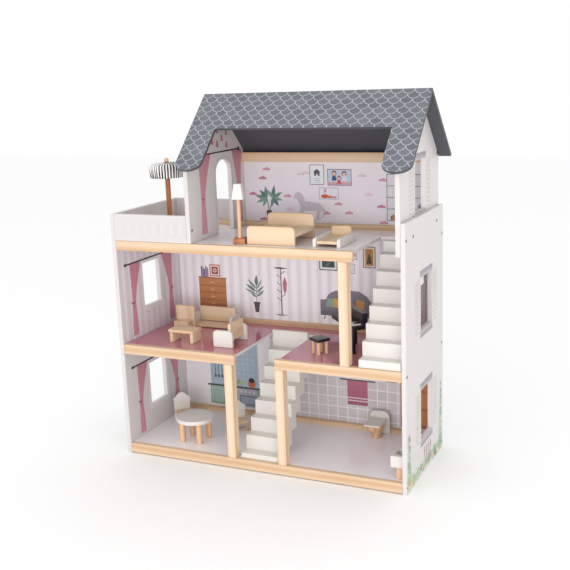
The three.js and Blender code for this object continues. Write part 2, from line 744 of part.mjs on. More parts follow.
function addToilet(house) {
  const { width, length, seat, seatWidth, stretch } = toilet;
  const x = innerRight - toilet.toWall - width;
  const group = standAt(house, x, skirtFront - toilet.toSkirt - length, groundFloor);
  const backFront = length - panel;
  const middle = width / 2;
  const back = roundedTop(0, 0, width, toilet.back, toilet.corner);
  add(group, 'toilet_back', boardAcross('y', backFront, length, back), whiteWood);

  const half = seatWidth / 2;
  const seatShape = rectangle(middle - half, 0, middle + half, backFront - fit);
  add(group, 'toilet_seat', boardAcross('z', seat[0], seat[1], seatShape), whiteWood);

  const bowlHeight = seat[0] - fit;
  const bowl = turnedBowl(toilet.bowlTop, toilet.bowlBottom, bowlHeight);
  bowl.scale(1, stretch, 1);
  bowl.translate(middle, backFront / 2, 0);
  leanBack(bowl, toilet.bowlLean, bowlHeight);
  add(group, 'toilet_bowl', bowl, plywood);
}

const basin = {
  toWall: 0.7, y: 13, width: 25, length: 44, height: 44, foot: 22, wall: 6, endWall: 10, hollow: 10,
};
const basinFoot = { width: 14, length: 32, front: 2 };

// The washbasin's own origin is its front left foot; the bowl is cut from above.
function addWashbasin(house) {
  const { width, length, height, foot, wall, endWall, hollow } = basin;
  const group = standAt(house, innerRight - basin.toWall - width, basin.y, groundFloor);
  const block = box([0, width], [0, length], [foot, height]);
  const recess = box([wall, width - wall], [endWall, length - endWall], [height - hollow, height + bury]);
  const footX = [width - basinFoot.width, width];
  const pedestal = box(footX, [basinFoot.front, basinFoot.front + basinFoot.length], [0, foot + bury]);
  add(group, 'washbasin', joined(without(block, recess), pedestal), whiteWood);
}

// ----------------------------------------------------------------- the object

const house = new THREE.Group();
house.position.set(-roofEnd / 2, (frontReach - backReach) / 2, 0);

addSideWalls(house);
addGables(house);
addFloors(house);
addStrips(house);
addPosts(house);
addBackPanels(house);
addStairs(house);
addRoof(house);
addParasol(house);
addLamp(house);
addBed(house);
addLounger(house);
addCoffeeTable(house);
addBlockChair(house);
addSettee(house, sofa, middleFloor);
addSettee(house, armchair, middleFloor);
addStool(house);
addPiano(house);
addDiningTable(house);
addDiningChairs(house);
addToilet(house);
addWashbasin(house);

const group = new THREE.Group();
group.add(house);

export default group;
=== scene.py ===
"""Finishes, printed decoration and fine shapes for a wooden dollhouse and its loose furniture."""

import json
import math
import random

import bmesh
import bpy
from mathutils import Matrix, Vector


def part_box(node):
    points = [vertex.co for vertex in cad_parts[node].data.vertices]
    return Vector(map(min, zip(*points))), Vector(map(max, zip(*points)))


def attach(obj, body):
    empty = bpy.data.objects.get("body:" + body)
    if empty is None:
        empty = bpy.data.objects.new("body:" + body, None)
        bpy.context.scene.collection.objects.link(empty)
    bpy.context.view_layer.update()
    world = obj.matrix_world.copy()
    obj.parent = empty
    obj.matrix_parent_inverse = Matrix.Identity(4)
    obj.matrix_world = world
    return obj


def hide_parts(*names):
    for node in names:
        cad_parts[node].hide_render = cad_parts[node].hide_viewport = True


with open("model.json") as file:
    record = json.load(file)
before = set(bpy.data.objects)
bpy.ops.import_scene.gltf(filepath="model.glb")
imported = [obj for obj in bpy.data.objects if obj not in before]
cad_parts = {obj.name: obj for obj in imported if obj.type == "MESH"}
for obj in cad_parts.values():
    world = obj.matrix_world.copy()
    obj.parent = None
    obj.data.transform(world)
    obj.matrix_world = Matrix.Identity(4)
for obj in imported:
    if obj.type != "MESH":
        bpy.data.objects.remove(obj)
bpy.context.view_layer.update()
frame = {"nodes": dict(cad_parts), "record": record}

MM = 0.001
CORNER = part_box("left_wall")[0]  # outer front foot of the left wall
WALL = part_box("left_wall")[1].x - CORNER.x
HOUSE_RIGHT = (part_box("right_wall")[1].x - CORNER.x) / MM
HOUSE_DEPTH = (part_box("left_wall")[1].y - CORNER.y) / MM
BACK_FACE = (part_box("back_panel_middle")[0].y - CORNER.y) / MM
MIDDLE_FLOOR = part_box("middle_floor")[1].z / MM
ATTIC_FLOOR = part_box("attic_floor")[1].z / MM
ROOF_PITCH = math.radians(44)


def at(x, y, z):
    """A place in the house in millimetres: from the left wall's outer face, its front edge and the ground."""
    return Vector((CORNER.x + x * MM, CORNER.y + y * MM, z * MM))


# ---------------------------------------------------------------- material building

def ink(code):
    """A colour from its usual six-figure code."""
    parts = [int(code[i:i + 2], 16) / 255 for i in (0, 2, 4)]
    linear = [c / 12.92 if c <= 0.04045 else ((c + 0.055) / 1.055) ** 2.4 for c in parts]
    return (*linear, 1.0)


class Wire:
    """A value that runs between nodes; arithmetic on it adds Math nodes."""

    def __init__(self, paint, socket):
        self.paint = paint
        self.socket = socket

    def math(self, operation, *others, clamp=False):
        settings = {"operation": operation, "use_clamp": clamp}
        values = dict(enumerate((self, *others)))
        return self.paint.node("ShaderNodeMath", settings, values)

    def __add__(self, other):
        return self.math("ADD", other)

    def __sub__(self, other):
        return self.math("SUBTRACT", other)

    def __rsub__(self, other):
        return (self * -1) + other

    def __mul__(self, other):
        return self.math("MULTIPLY", other)

    def __truediv__(self, other):
        return self.math("DIVIDE", other)

    __radd__ = __add__
    __rmul__ = __mul__

    def above(self, limit, soft):
        """0 below a limit and 1 above it, with a soft step between."""
        return ((self - limit) / soft + 0.5).math("MINIMUM", 1.0).math("MAXIMUM", 0.0)

    def between(self, low, high, soft):
        return self.above(low, soft) * (1 - self.above(high, soft))

    def wrapped(self, period):
        """The distance past the last whole period, for a pattern that repeats."""
        return self.math("FLOORED_MODULO", period)


class Paint:
    """A material under construction, on one Principled shader."""

    def __init__(self, name, **constants):
        self.material = bpy.data.materials.new(name)
        self.material.use_nodes = True
        self.tree = self.material.node_tree
        self.shader = self.tree.nodes["Principled BSDF"]
        for socket, value in constants.items():
            self.shader.inputs[socket.replace("_", " ")].default_value = value

    def node(self, kind, settings=None, values=None, output=0):
        """Adds a node: its settings first, then the values or wires of its sockets."""
        made = self.tree.nodes.new(kind)
        for key, value in (settings or {}).items():
            setattr(made, key, value)
        for socket, value in (values or {}).items():
            if isinstance(value, Wire):
                self.tree.links.new(value.socket, made.inputs[socket])
            else:
                made.inputs[socket].default_value = value
        return Wire(self, made.outputs[output])

    def set(self, **wires):
        for socket, wire in wires.items():
            self.tree.links.new(wire.socket, self.shader.inputs[socket.replace("_", " ")])

    def place(self):
        return self.node("ShaderNodeTexCoord", output="Object")

    def axes(self, vector):
        return [self.node("ShaderNodeSeparateXYZ", values={0: vector}, output=i) for i in range(3)]

    def joined(self, x, y, z):
        return self.node("ShaderNodeCombineXYZ", values={0: x, 1: y, 2: z})

    def stretched(self, scale):
        """Object coordinates with a scale along each axis."""
        values = {"Vector": self.place(), "Scale": scale}
        return self.node("ShaderNodeMapping", {"vector_type": "POINT"}, values)

    def noise(self, vector, scale, detail=3.0, roughness=0.5):
        values = {"Vector": vector, "Scale": scale, "Detail": detail, "Roughness": roughness}
        return self.node("ShaderNodeTexNoise", values=values)

    def blend(self, amount, first, second):
        """Two colours mixed; each is a colour or a wire."""
        settings = {"data_type": "RGBA"}
        return self.node("ShaderNodeMix", settings, {0: amount, 6: first, 7: second}, output=2)

    def attribute(self, name, output="Fac"):
        settings = {"attribute_type": "GEOMETRY", "attribute_name": name}
        return self.node("ShaderNodeAttribute", settings, output=output)

    def bump(self, height, strength, distance):
        values = {"Height": height, "Strength": strength, "Distance": distance}
        return self.node("ShaderNodeBump", values=values)

    def peel(self):
        """The faint orange peel of a sprayed coat."""
        return self.bump(self.noise(self.place(), 900.0, 2.0), 0.2, 0.00008)


# ---------------------------------------------------------------- finishes

def lacquer(name, base, edge, roughness, coat=0.0):
    """Sprayed lacquer on fibreboard: a faint orange peel, with rubbed edges."""
    paint = Paint(name, Coat_Weight=coat, Coat_Roughness=0.12, Specular_IOR_Level=0.45)
    cloudy = paint.noise(paint.place(), 14.0, 4.0)
    fine = paint.noise(paint.place(), 900.0, 2.0)
    rubbed = paint.attribute("worn") * paint.noise(paint.place(), 120.0, 3.0).above(0.52, 0.12)
    shade = tuple(c * 0.97 for c in base[:3]) + (1.0,)
    plain = paint.blend(cloudy, shade, base)
    paint.set(
        Base_Color=paint.blend(rubbed * 0.55, plain, edge),
        Roughness=cloudy * 0.12 + rubbed * 0.2 + (roughness - 0.06),
        Normal=paint.bump(fine, 0.25, 0.00008),
    )
    return paint.material


def bare_wood(name, along, light, dark, rings, roughness=0.55):
    """Planed wood with its grain along one axis: year rings, fibres and a slow drift of warmer tone."""
    paint = Paint(name, Specular_IOR_Level=0.35)
    slow, fast = 2.2, 26.0
    scale = [slow if axis == along else fast for axis in "xyz"]
    drift = paint.noise(paint.stretched(scale), 1.0, 2.0)
    x, y, z = paint.axes(paint.place())
    cross = {"x": y + z * 0.83, "y": x + z * 0.83, "z": x + y * 0.83}[along]
    ring = (cross * rings + drift * 3.4).math("SINE") * 0.5 + 0.5
    ring = ring.math("POWER", 2.2)
    fibre_scale = [18.0 if axis == along else 950.0 for axis in "xyz"]
    fibre = paint.noise(paint.stretched(fibre_scale), 1.0, 3.0, 0.6)
    warmth = paint.noise(paint.stretched([5.0 if axis == along else 60.0 for axis in "xyz"]), 1.0, 2.0)
    grain = (ring * 0.5 + fibre * 0.35 + warmth * 0.4 - 0.16).math("MAXIMUM", 0.0).math("MINIMUM", 1.0)
    wood = paint.blend(grain, light, dark)
    rubbed = paint.attribute("worn") * paint.noise(paint.place(), 160.0, 2.0)
    paint.set(
        Base_Color=paint.blend(rubbed * 0.35, wood, dark),
        Roughness=fibre * 0.18 + (roughness - 0.09),
        Normal=paint.bump(fibre * 0.7 + ring * 0.3, 0.3, 0.00012),
    )
    return paint.material


def striped_paper(name):
    """Lacquered board printed with soft upright stripes, lavender and white."""
    paint = Paint(name, Specular_IOR_Level=0.4)
    across = paint.axes(paint.place())[0]
    pitch = 0.0222
    phase = (across - CORNER.x + 0.004).wrapped(pitch) / pitch
    band = phase.between(0.36, 0.92, 0.3)
    line = phase.between(0.0, 0.10, 0.09) + phase.between(0.22, 0.32, 0.09) * 0.5
    mottle = paint.noise(paint.place(), 18.0, 3.0)
    plain = paint.blend(band, ink("ebe5ec"), ink("f6f3f6"))
    lined = paint.blend(line * 0.45, plain, ink("cfc7d3"))
    paint.set(
        Base_Color=paint.blend(mottle * 0.12, lined, ink("d3c9d6")),
        Roughness=mottle * 0.1 + 0.36,
        Normal=paint.peel(),
    )
    return paint.material


def tiled(name, tile, joint, size, joint_width, variation, start):
    """Lacquered board printed in one pale colour, with square tiles from start to the right."""
    paint = Paint(name, Specular_IOR_Level=0.4)
    x, _, z = paint.axes(paint.place())
    across = (x - CORNER.x) / size
    up = (z + 0.004) / size
    edge = joint_width / size
    gap_across = across.wrapped(1.0).between(edge, 1 - edge, edge)
    gap_up = up.wrapped(1.0).between(edge, 1 - edge, edge)
    each = paint.joined(across.math("FLOOR"), 0.0, up.math("FLOOR"))
    tone = paint.node("ShaderNodeTexWhiteNoise", {"noise_dimensions": "3D"}, {"Vector": each})
    dark = tuple(c * (1 - variation) for c in tile[:3]) + (1.0,)
    face = paint.blend(tone, dark, tile)
    wall = paint.blend(gap_across * gap_up, joint, face)
    beyond = (x - CORNER.x).above(start, 0.0005)
    paint.set(
        Base_Color=paint.blend(beyond, joint, wall),
        Roughness=paint.noise(paint.place(), 22.0) * 0.12 + 0.3,
        Normal=paint.peel(),
    )
    return paint.material


def plain_print(name, base, tint):
    """Lacquered board printed in one quiet colour."""
    paint = Paint(name, Specular_IOR_Level=0.4)
    mottle = paint.noise(paint.place(), 9.0, 4.0)
    paint.set(
        Base_Color=paint.blend(mottle, base, tint),
        Roughness=mottle * 0.14 + 0.34,
        Normal=paint.peel(),
    )
    return paint.material


def polished_floor(name, base, tint, roughness):
    """Glossy lacquered floor, faintly clouded, with finger smudges."""
    paint = Paint(name, Coat_Weight=0.35, Coat_Roughness=0.1, Specular_IOR_Level=0.5)
    cloudy = paint.noise(paint.place(), 7.0, 3.0).above(0.5, 0.5)
    smudge = paint.noise(paint.place(), 34.0, 3.0)
    paint.set(
        Base_Color=paint.blend(cloudy, base, tint),
        Roughness=smudge * 0.12 + roughness,
        Normal=paint.bump(paint.noise(paint.place(), 700.0, 2.0), 0.12, 0.00006),
    )
    return paint.material


def roof_scales(name):
    """Slate lacquer printed with rows of round-ended scales, outlined in pale grey."""
    paint = Paint(name, Specular_IOR_Level=0.4)
    x, _, z = paint.axes(paint.place())
    width, row = 0.0218, 0.0117
    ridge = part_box("roof_back_panel")[1].z
    run = (z - ridge) * -1 / math.sin(ROOF_PITCH) / row
    layer = run.math("FLOOR")
    down = run - layer
    shift = layer.wrapped(2.0) * 0.5
    across = ((x - CORNER.x) / width + shift).wrapped(1.0) - 0.5

    # each scale ends in a half circle; past its line the next row's scales show
    past = ((across * 2) * (across * 2) + down * down).math("SQRT") - 1.0
    arc = (past.math("ABSOLUTE") * -1 + 0.085).above(0.035, 0.05)
    below = past.above(0.0, 0.02)
    column = ((x - CORNER.x) / width + shift + (0.5 - shift * 2) * below).math("FLOOR")
    each = paint.joined(column, layer + below, 0.0)
    tone = paint.node("ShaderNodeTexWhiteNoise", {"noise_dimensions": "3D"}, {"Vector": each})
    hatch = paint.noise(paint.stretched((260.0, 900.0, 900.0)), 1.0, 2.0, 0.7)
    slate = paint.blend(tone * 0.5 + hatch * 0.5, ink("5b5d65"), ink("787a82"))
    paint.set(
        Base_Color=paint.blend(arc * 0.8, slate, ink("c3c7cf")),
        Roughness=hatch * 0.15 + 0.42,
        Normal=paint.bump(hatch, 0.2, 0.00008),
    )
    return paint.material


def printed_ink(name):
    """Printed decoration under the same lacquer; each shape carries its own colour."""
    paint = Paint(name, Specular_IOR_Level=0.4)
    shade = paint.attribute("ink", "Color")
    soft = paint.noise(paint.place(), 160.0, 3.0)
    fine = paint.noise(paint.place(), 1100.0, 1.0)
    darker = paint.node(
        "ShaderNodeMix", {"data_type": "RGBA", "blend_type": "MULTIPLY"},
        {0: 1.0, 6: shade, 7: ink("dcd8da")}, output=2,
    )
    paint.set(
        Base_Color=paint.blend(soft * 0.7, shade, darker),
        Roughness=soft * 0.12 + 0.36,
        Normal=paint.bump(fine, 0.12, 0.00005),
    )
    return paint.material


def striped_cloth(name):
    """Cotton woven with black and white stripes that run from the middle to the hem."""
    paint = Paint(name, Roughness=0.85, Sheen_Weight=0.25, Specular_IOR_Level=0.25)
    uv = paint.node("ShaderNodeUVMap", {"uv_map": "UVMap"})
    turn, fall, _ = paint.axes(uv)
    stripes = 36
    wobble = paint.noise(paint.place(), 60.0, 1.0) * 0.12
    black = (turn * stripes + wobble).wrapped(1.0).between(0.25, 0.75, 0.06)
    warp = (turn * 900.0 * math.pi).math("SINE") * 0.5 + 0.5
    weft = (fall * 260.0 * math.pi).math("SINE") * 0.5 + 0.5
    weave = warp * weft
    thread = paint.blend(weave * 0.25, ink("f2f0ee"), ink("d9d6d2"))
    dark = paint.blend(weave * 0.4, ink("17161a"), ink("34323a"))
    paint.set(
        Base_Color=paint.blend(black, thread, dark),
        Normal=paint.bump(weave, 0.35, 0.0001),
    )
    return paint.material


def metal(name, base, roughness):
    """Plated screw steel with turning marks."""
    paint = Paint(name, Metallic=1.0)
    marks = paint.noise(paint.place(), 1400.0, 2.0)
    dull = tuple(c * 0.7 for c in base[:3]) + (1.0,)
    paint.set(
        Base_Color=paint.blend(marks, dull, base),
        Roughness=marks * 0.2 + roughness,
        Normal=paint.bump(marks, 0.2, 0.00005),
    )
    return paint.material


WHITE_BOARD = lacquer("white_lacquer", ink("d6d0cf"), ink("c9c2bb"), 0.4)
WHITE_WOOD = lacquer("white_lacquered_wood", ink("e0dcd7"), ink("d3c5b1"), 0.38)
BLACK_WOOD = lacquer("black_lacquer", ink("17171a"), ink("4a4038"), 0.3, coat=0.3)
CHARCOAL = lacquer("charcoal_lacquer", ink("4b4c52"), ink("6a6862"), 0.5)
COPPER_WOOD = bare_wood("copper_stained_wood", "z", ink("c48157"), ink("9a5a38"), 260.0, 0.4)
PINE_X = bare_wood("pine_along", "x", ink("e3caac"), ink("c79c75"), 300.0)
PINE_Z = bare_wood("pine_upright", "z", ink("ead4ba"), ink("cea480"), 300.0)
PLY_X = bare_wood("plywood_along", "x", ink("e5cfb3"), ink("d5b08b"), 190.0)
PLY_Y = bare_wood("plywood_deep", "y", ink("e5cfb3"), ink("d5b08b"), 190.0)
PLY_Z = bare_wood("plywood_upright", "z", ink("e5cfb3"), ink("d5b08b"), 190.0)
BEECH_Z = bare_wood("beech_leg", "z", ink("e6bf9a"), ink("cc9a72"), 300.0)
STRIPED_PAPER = striped_paper("striped_print")
WHITE_TILES = tiled("white_tiles_print", ink("d2cccf"), ink("ebe7ea"), 0.0215, 0.0010, 0.10, 0.215)
LAVENDER = plain_print("lavender_print", ink("ebe6eb"), ink("e0d9e0"))
MAUVE_FLOOR = polished_floor("mauve_floor_lacquer", ink("c67f8e"), ink("bb7081"), 0.06)
GREY_FLOOR = polished_floor("pale_floor_lacquer", ink("fffafd"), ink("f5eff3"), 0.1)
ROOF_SCALES = roof_scales("slate_scales_print")
INK = printed_ink("printed_ink")
CLOTH = striped_cloth("striped_cotton")
SCREW = metal("plated_screw", ink("6b6762"), 0.35)


# ---------------------------------------------------------------- shaping

def settle(name, bm, materials, body, slot, stands_for=(), soft_edge=40):
    """Makes the finished piece: clean normals, smooth rounds, riding on its body."""
    bmesh.ops.recalc_face_normals(bm, faces=bm.faces)
    mesh = bpy.data.meshes.new(name)
    bm.to_mesh(mesh)
    bm.free()
    mesh.shade_smooth()
    mesh.set_sharp_from_angle(angle=math.radians(soft_edge))
    piece = bpy.data.objects.new(name, mesh)
    bpy.context.scene.collection.objects.link(piece)
    for material in materials if isinstance(materials, (list, tuple)) else [materials]:
        mesh.materials.append(material)
    even = piece.modifiers.new("even_shading", "WEIGHTED_NORMAL")
    even.keep_sharp = True
    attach(piece, body)
    if stands_for:
        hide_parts(*stands_for)
    return piece


def soften(bm, radius, segments=2, sharpest=30):
    """Rounds every sharp edge and marks the rounded band as rubbed."""
    worn = bm.loops.layers.float.get("worn") or bm.loops.layers.float.new("worn")
    limit = math.radians(sharpest)
    edges = [e for e in bm.edges if len(e.link_faces) == 2 and e.calc_face_angle() > limit]
    made = bmesh.ops.bevel(
        bm, geom=edges, offset=radius, offset_type="OFFSET", segments=segments,
        profile=0.5, affect="EDGES", material=-1, clamp_overlap=True,
    )
    for face in made["faces"]:
        for loop in face.loops:
            loop[worn] = 1.0


def copied(node):
    """The node's own shape as clean flat faces."""
    bm = bmesh.new()
    bm.from_mesh(frame["nodes"][node].data)
    bmesh.ops.remove_doubles(bm, verts=bm.verts, dist=0.000002)
    bmesh.ops.dissolve_limit(bm, angle_limit=math.radians(0.5), verts=bm.verts, edges=bm.edges)
    return bm


def body_of(node):
    return next(body for body, nodes in frame["record"]["behaviour"]["bodies"].items() if node in nodes)


def slot_of(node):
    return next(s["material_slot"] for s in frame["record"]["subparts"] if s["node"] == node)


def board(node, materials, radius=0.5, printed=None):
    """One board; printed(normal) picks the faces that take the second material."""
    bm = copied(node)
    if printed:
        for face in bm.faces:
            face.material_index = 1 if printed(face.normal) else 0
    soften(bm, radius * MM)
    return settle(node + "_board", bm, materials, body_of(node), slot_of(node), [node])


def foot_of(node):
    low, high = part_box(node)
    return Vector(((low.x + high.x) / 2, (low.y + high.y) / 2, low.z))


def right_face(node):
    """Where a board's right face stands, in millimetres across the house."""
    return (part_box(node)[1].x - CORNER.x) / MM


def turned_about(origin, degrees):
    return Matrix.Translation(origin) @ Matrix.Rotation(math.radians(degrees), 4, "Z")


def block(low, high, radius, segments=2):
    """A rounded box between two corners, in millimetres."""
    bm = bmesh.new()
    bmesh.ops.create_cube(bm, size=1.0)
    size = [h - l for l, h in zip(low, high)]
    centre = [(h + l) / 2 for l, h in zip(low, high)]
    bmesh.ops.scale(bm, vec=Vector(size) * MM, verts=bm.verts)
    bmesh.ops.translate(bm, vec=Vector(centre) * MM, verts=bm.verts)
    soften(bm, radius * MM, segments)
    return bm


def turned(profile, steps):
    """A shape turned on the lathe from (radius, height) points in millimetres, axis to axis."""
    bm = bmesh.new()
    verts = [bm.verts.new((r * MM, 0, z * MM)) for r, z in profile]
    edges = [bm.edges.new(pair) for pair in zip(verts, verts[1:])]
    bmesh.ops.spin(
        bm, geom=verts + edges, cent=(0, 0, 0), axis=(0, 0, 1), dvec=(0, 0, 0),
        angle=math.tau, steps=steps, use_merge=True, use_duplicate=False,
    )
    bmesh.ops.remove_doubles(bm, verts=bm.verts, dist=0.000002)
    bmesh.ops.recalc_face_normals(bm, faces=bm.faces)
    return bm


def cut_board(points, depth, radius):
    """A board cut to an outline of (across, up) points, in millimetres, thick along Y."""
    bm = bmesh.new()
    face = bm.faces.new([bm.verts.new((u * MM, depth[0] * MM, v * MM)) for u, v in points])
    grown = bmesh.ops.extrude_face_region(bm, geom=[face])
    moved = [g for g in grown["geom"] if isinstance(g, bmesh.types.BMVert)]
    bmesh.ops.translate(bm, vec=(0, (depth[1] - depth[0]) * MM, 0), verts=moved)
    bmesh.ops.recalc_face_normals(bm, faces=bm.faces)
    soften(bm, radius * MM, 2, 50)
    return bm


def merged(*shapes):
    """Several shapes as one mesh."""
    whole = bmesh.new()
    for shape in shapes:
        part = bpy.data.meshes.new("part")
        shape.to_mesh(part)
        shape.free()
        whole.from_mesh(part)
        bpy.data.meshes.remove(part)
    return whole


def moved(bm, matrix):
    bmesh.ops.transform(bm, matrix=matrix, verts=bm.verts)
    return bm


# ---------------------------------------------------------------- printed shapes

class Print:
    """Decoration on one face of a board: thin closed films of ink, in millimetres across and up."""

    FILM = 0.05

    def __init__(self, name, origin, across, out, node):
        self.name = name
        self.origin = origin
        self.across = Vector(across)
        self.out = Vector(out)
        self.node = node
        self.bm = bmesh.new()
        self.ink = self.bm.verts.layers.float_color.new("ink")
        self.count = 0

    def shape(self, points, code, level=0, foot=None):
        """A filled outline. With foot, the colour fades to a second one at the lowest point."""
        self.count += 1
        lift = (0.02 + self.FILM * level + 0.0012 * self.count) * MM
        low = min(v for u, v in points)
        span = max(v for u, v in points) - low or 1.0
        top, bottom = Vector(ink(code)), Vector(ink(foot or code))
        verts = []
        for u, v in points:
            place = self.origin + self.across * (u * MM) + Vector((0, 0, v * MM)) + self.out * lift
            vert = self.bm.verts.new(place)
            vert[self.ink] = bottom.lerp(top, (v - low) / span)
            verts.append(vert)
        self.bm.faces.new(verts)

    def box(self, u0, v0, u1, v1, code, level=0, foot=None):
        self.shape([(u0, v0), (u1, v0), (u1, v1), (u0, v1)], code, level, foot)

    def oval(self, u, v, ru, rv, code, level=0, arc=(0, 360), steps=18):
        start, end = (math.radians(a) for a in arc)
        whole = arc[1] - arc[0] >= 360
        count = steps if whole else steps + 1
        angles = [start + (end - start) * i / steps for i in range(count)]
        self.shape([(u + ru * math.cos(a), v + rv * math.sin(a)) for a in angles], code, level)

    def line(self, start, end, width, code, level=0):
        run = Vector(end) - Vector(start)
        side = Vector((-run.y, run.x)).normalized() * width / 2
        corners = [Vector(start) - side, Vector(end) - side, Vector(end) + side, Vector(start) + side]
        self.shape([tuple(c) for c in corners], code, level)

    def leaf(self, start, end, width, code, level):
        """A pointed leaf, broadest a little past its stalk."""
        steps = 7
        run = Vector(end) - Vector(start)
        side = Vector((-run.y, run.x)).normalized()
        rim = [(i / steps, math.sin(math.pi * (i / steps) ** 0.8) * width / 2) for i in range(1, steps)]
        upper = [Vector(start) + run * t + side * w for t, w in rim]
        lower = [Vector(start) + run * t - side * w for t, w in reversed(rim)]
        self.shape([tuple(p) for p in [Vector(start), *upper, Vector(end), *lower]], code, level)

    def ring(self, points, width, code):
        """A closed line through the points."""
        for start, end in zip(points, points[1:] + points[:1]):
            self.line(start, end, width, code)

    def finish(self):
        faces = list(self.bm.faces)
        grown = bmesh.ops.extrude_face_region(self.bm, geom=faces)
        lifted = [g for g in grown["geom"] if isinstance(g, bmesh.types.BMVert)]
        bmesh.ops.translate(self.bm, vec=self.out * self.FILM * MM, verts=lifted)
        return settle(self.name, self.bm, INK, body_of(self.node), slot_of(self.node), soft_edge=20)


def back_print(name, node):
    face = at(0, BACK_FACE, 0)
    return Print(name, face, (1, 0, 0), (0, -1, 0), node)


def side_print(name, x, facing, node):
    """On an upright board across the house, at x millimetres; the shapes run from front to back."""
    return Print(name, at(x, 0, 0), (0, 1, 0), (facing, 0, 0), node)


def cloud(page, u, v, width, code):
    """A flat-bottomed cloud with three bumps."""
    half = width / 2
    page.box(u - half, v - half * 0.30, u + half, v - half * 0.02, code)
    for centre, reach, rise in ((-0.45, 0.5, 0.3), (0.12, 0.42, 0.52), (0.62, 0.36, 0.26)):
        place = u + half * centre
        page.oval(place, v - half * 0.05, half * reach, half * rise, code, 0, (0, 180), 8)


def outlined_cloud(page, u, v, width, code):
    half = width / 2
    bumps = [(-0.55, 0.34), (0.05, 0.48), (0.6, 0.32)]
    points = []
    for centre, radius in bumps:
        for step in range(7):
            angle = math.radians(170 - step * 160 / 6)
            across = centre + radius * math.cos(angle)
            points.append((u + half * across, v + half * radius * math.sin(angle)))
    page.ring(points, 0.8, code)


def curtain(page, top, tie, bottom, heights, shade, foot, fold):
    """A gathered curtain: its edges at the rod, the tie and the hem, with darker folds."""
    rod_height, tie_height, hem = heights
    points = []
    for side in (0, 1):
        above, waist, below = top[side], tie[side], bottom[side]
        edge = [
            (above, rod_height),
            (waist * 0.55 + above * 0.45, tie_height * 0.45 + rod_height * 0.55),
            (waist * 0.88 + above * 0.12, tie_height * 0.8 + rod_height * 0.2),
            (waist, tie_height),
            (below * 0.8 + waist * 0.2, tie_height * 0.45 + hem * 0.55),
            (below, hem),
        ]
        points += edge if side == 0 else edge[::-1]
    page.shape(points[::-1], shade, 1, foot)
    for share in (0.22, 0.45, 0.7, 0.88):
        spots = [edge[0] + (edge[1] - edge[0]) * share for edge in (top, tie, bottom)]
        page.shape(
            [(spots[0] - 0.9, rod_height - 1), (spots[1] - 0.2, tie_height), (spots[2] - 0.7, hem + 1),
             (spots[2] + 0.7, hem + 1), (spots[1] + 0.2, tie_height), (spots[0] + 0.9, rod_height - 1)],
            fold, 2)


def bow(page, u, v, code, dark):
    """A tied bow with two loops and two ends."""
    for side in (-1, 1):
        page.shape([(u, v), (u + side * 8, v + 5.5), (u + side * 7, v - 3)], code, 3)
        page.shape([(u, v), (u + side * 5.5, v - 9), (u + side * 1.5, v - 9.5)], code, 3)
    page.oval(u, v, 2.0, 2.2, dark, 4, steps=10)


def curtained_window(page, opening, rod, tie_height, hem):
    """Rod, pair of curtains, bows and a pale frame around a window on the inner face of a wall."""
    front, back, sill, head = opening
    start, end, height = rod
    frame_shade = "e9e6e8"
    for u0, v0, u1, v1 in [
        (front - 8, sill - 3, front - 0.4, head + 7), (back + 0.4, sill - 3, back + 8, head + 7),
        (front - 8, head + 0.4, back + 8, head + 7), (front - 8, sill - 9, back + 8, sill - 0.4),
    ]:
        page.box(u0, v0, u1, v1, frame_shade)
    shade, foot, fold = "d08d98", "dba7b0", "b57080"
    curtain(page, (start + 13, start + 52), (start + 16, start + 27), (start + 12, start + 32),
            (height - 1, tie_height, hem), shade, foot, fold)
    curtain(page, (end - 52, end - 10), (end - 27, end - 15), (end - 32, end - 11),
            (height - 1, tie_height, hem), shade, foot, fold)
    bow(page, start + 19, tie_height, "c27f8c", "8d4a5c")
    bow(page, end - 19, tie_height, "c27f8c", "8d4a5c")
    page.line((start, height), (end, height), 3.0, "2c262b", 4)
    for u in (start, end):
        page.oval(u, height, 3.4, 3.4, "2c262b", 4, steps=12)
        page.oval(u + (4 if u == end else -4), height, 2.2, 2.2, "2c262b", 4, steps=10)


def picture(page, u0, v0, u1, v1, rim, paper, width=1.6):
    page.box(u0, v0, u1, v1, rim)
    page.box(u0 + width, v0 + width, u1 - width, v1 - width, paper, 1)


def attic_prints():
    """Bedroom back wall: clouds, a palm, a rocking horse, three pictures and a shelf."""
    page = back_print("attic_print", "back_panel_attic")
    pink, deep, pale = "d79aae", "c97f98", "ecd0da"
    spots = [
        (224, 547, pink), (215, 529, deep), (192, 497, deep), (269, 494, pink), (214, 446, deep),
        (273, 467, pale), (352, 461, pink), (377, 480, pink), (399, 463, pink), (465, 477, deep),
        (469, 528, pink), (470, 446, pink), (440, 500, pale), (310, 540, pale), (520, 480, pink),
        (530, 530, deep), (502, 452, pink), (545, 500, pink),
    ]
    for u, v, code in spots:
        cloud(page, u, v, 17, code)
    outlined_cloud(page, 299, 536, 17, "c9bccb")
    outlined_cloud(page, 427, 534, 19, "b9adbc")
    palm(page, 227, 445)
    rocking_horse(page, 315, 452)
    house_poster(page, 318, 517, 348.5, 556.5)
    family_picture(page, 355.5, 516, 405.5, 548)
    fox_picture(page, 337, 488.5, 378, 512)
    shelf(page, 476, 450, 560, 540)
    page.finish()


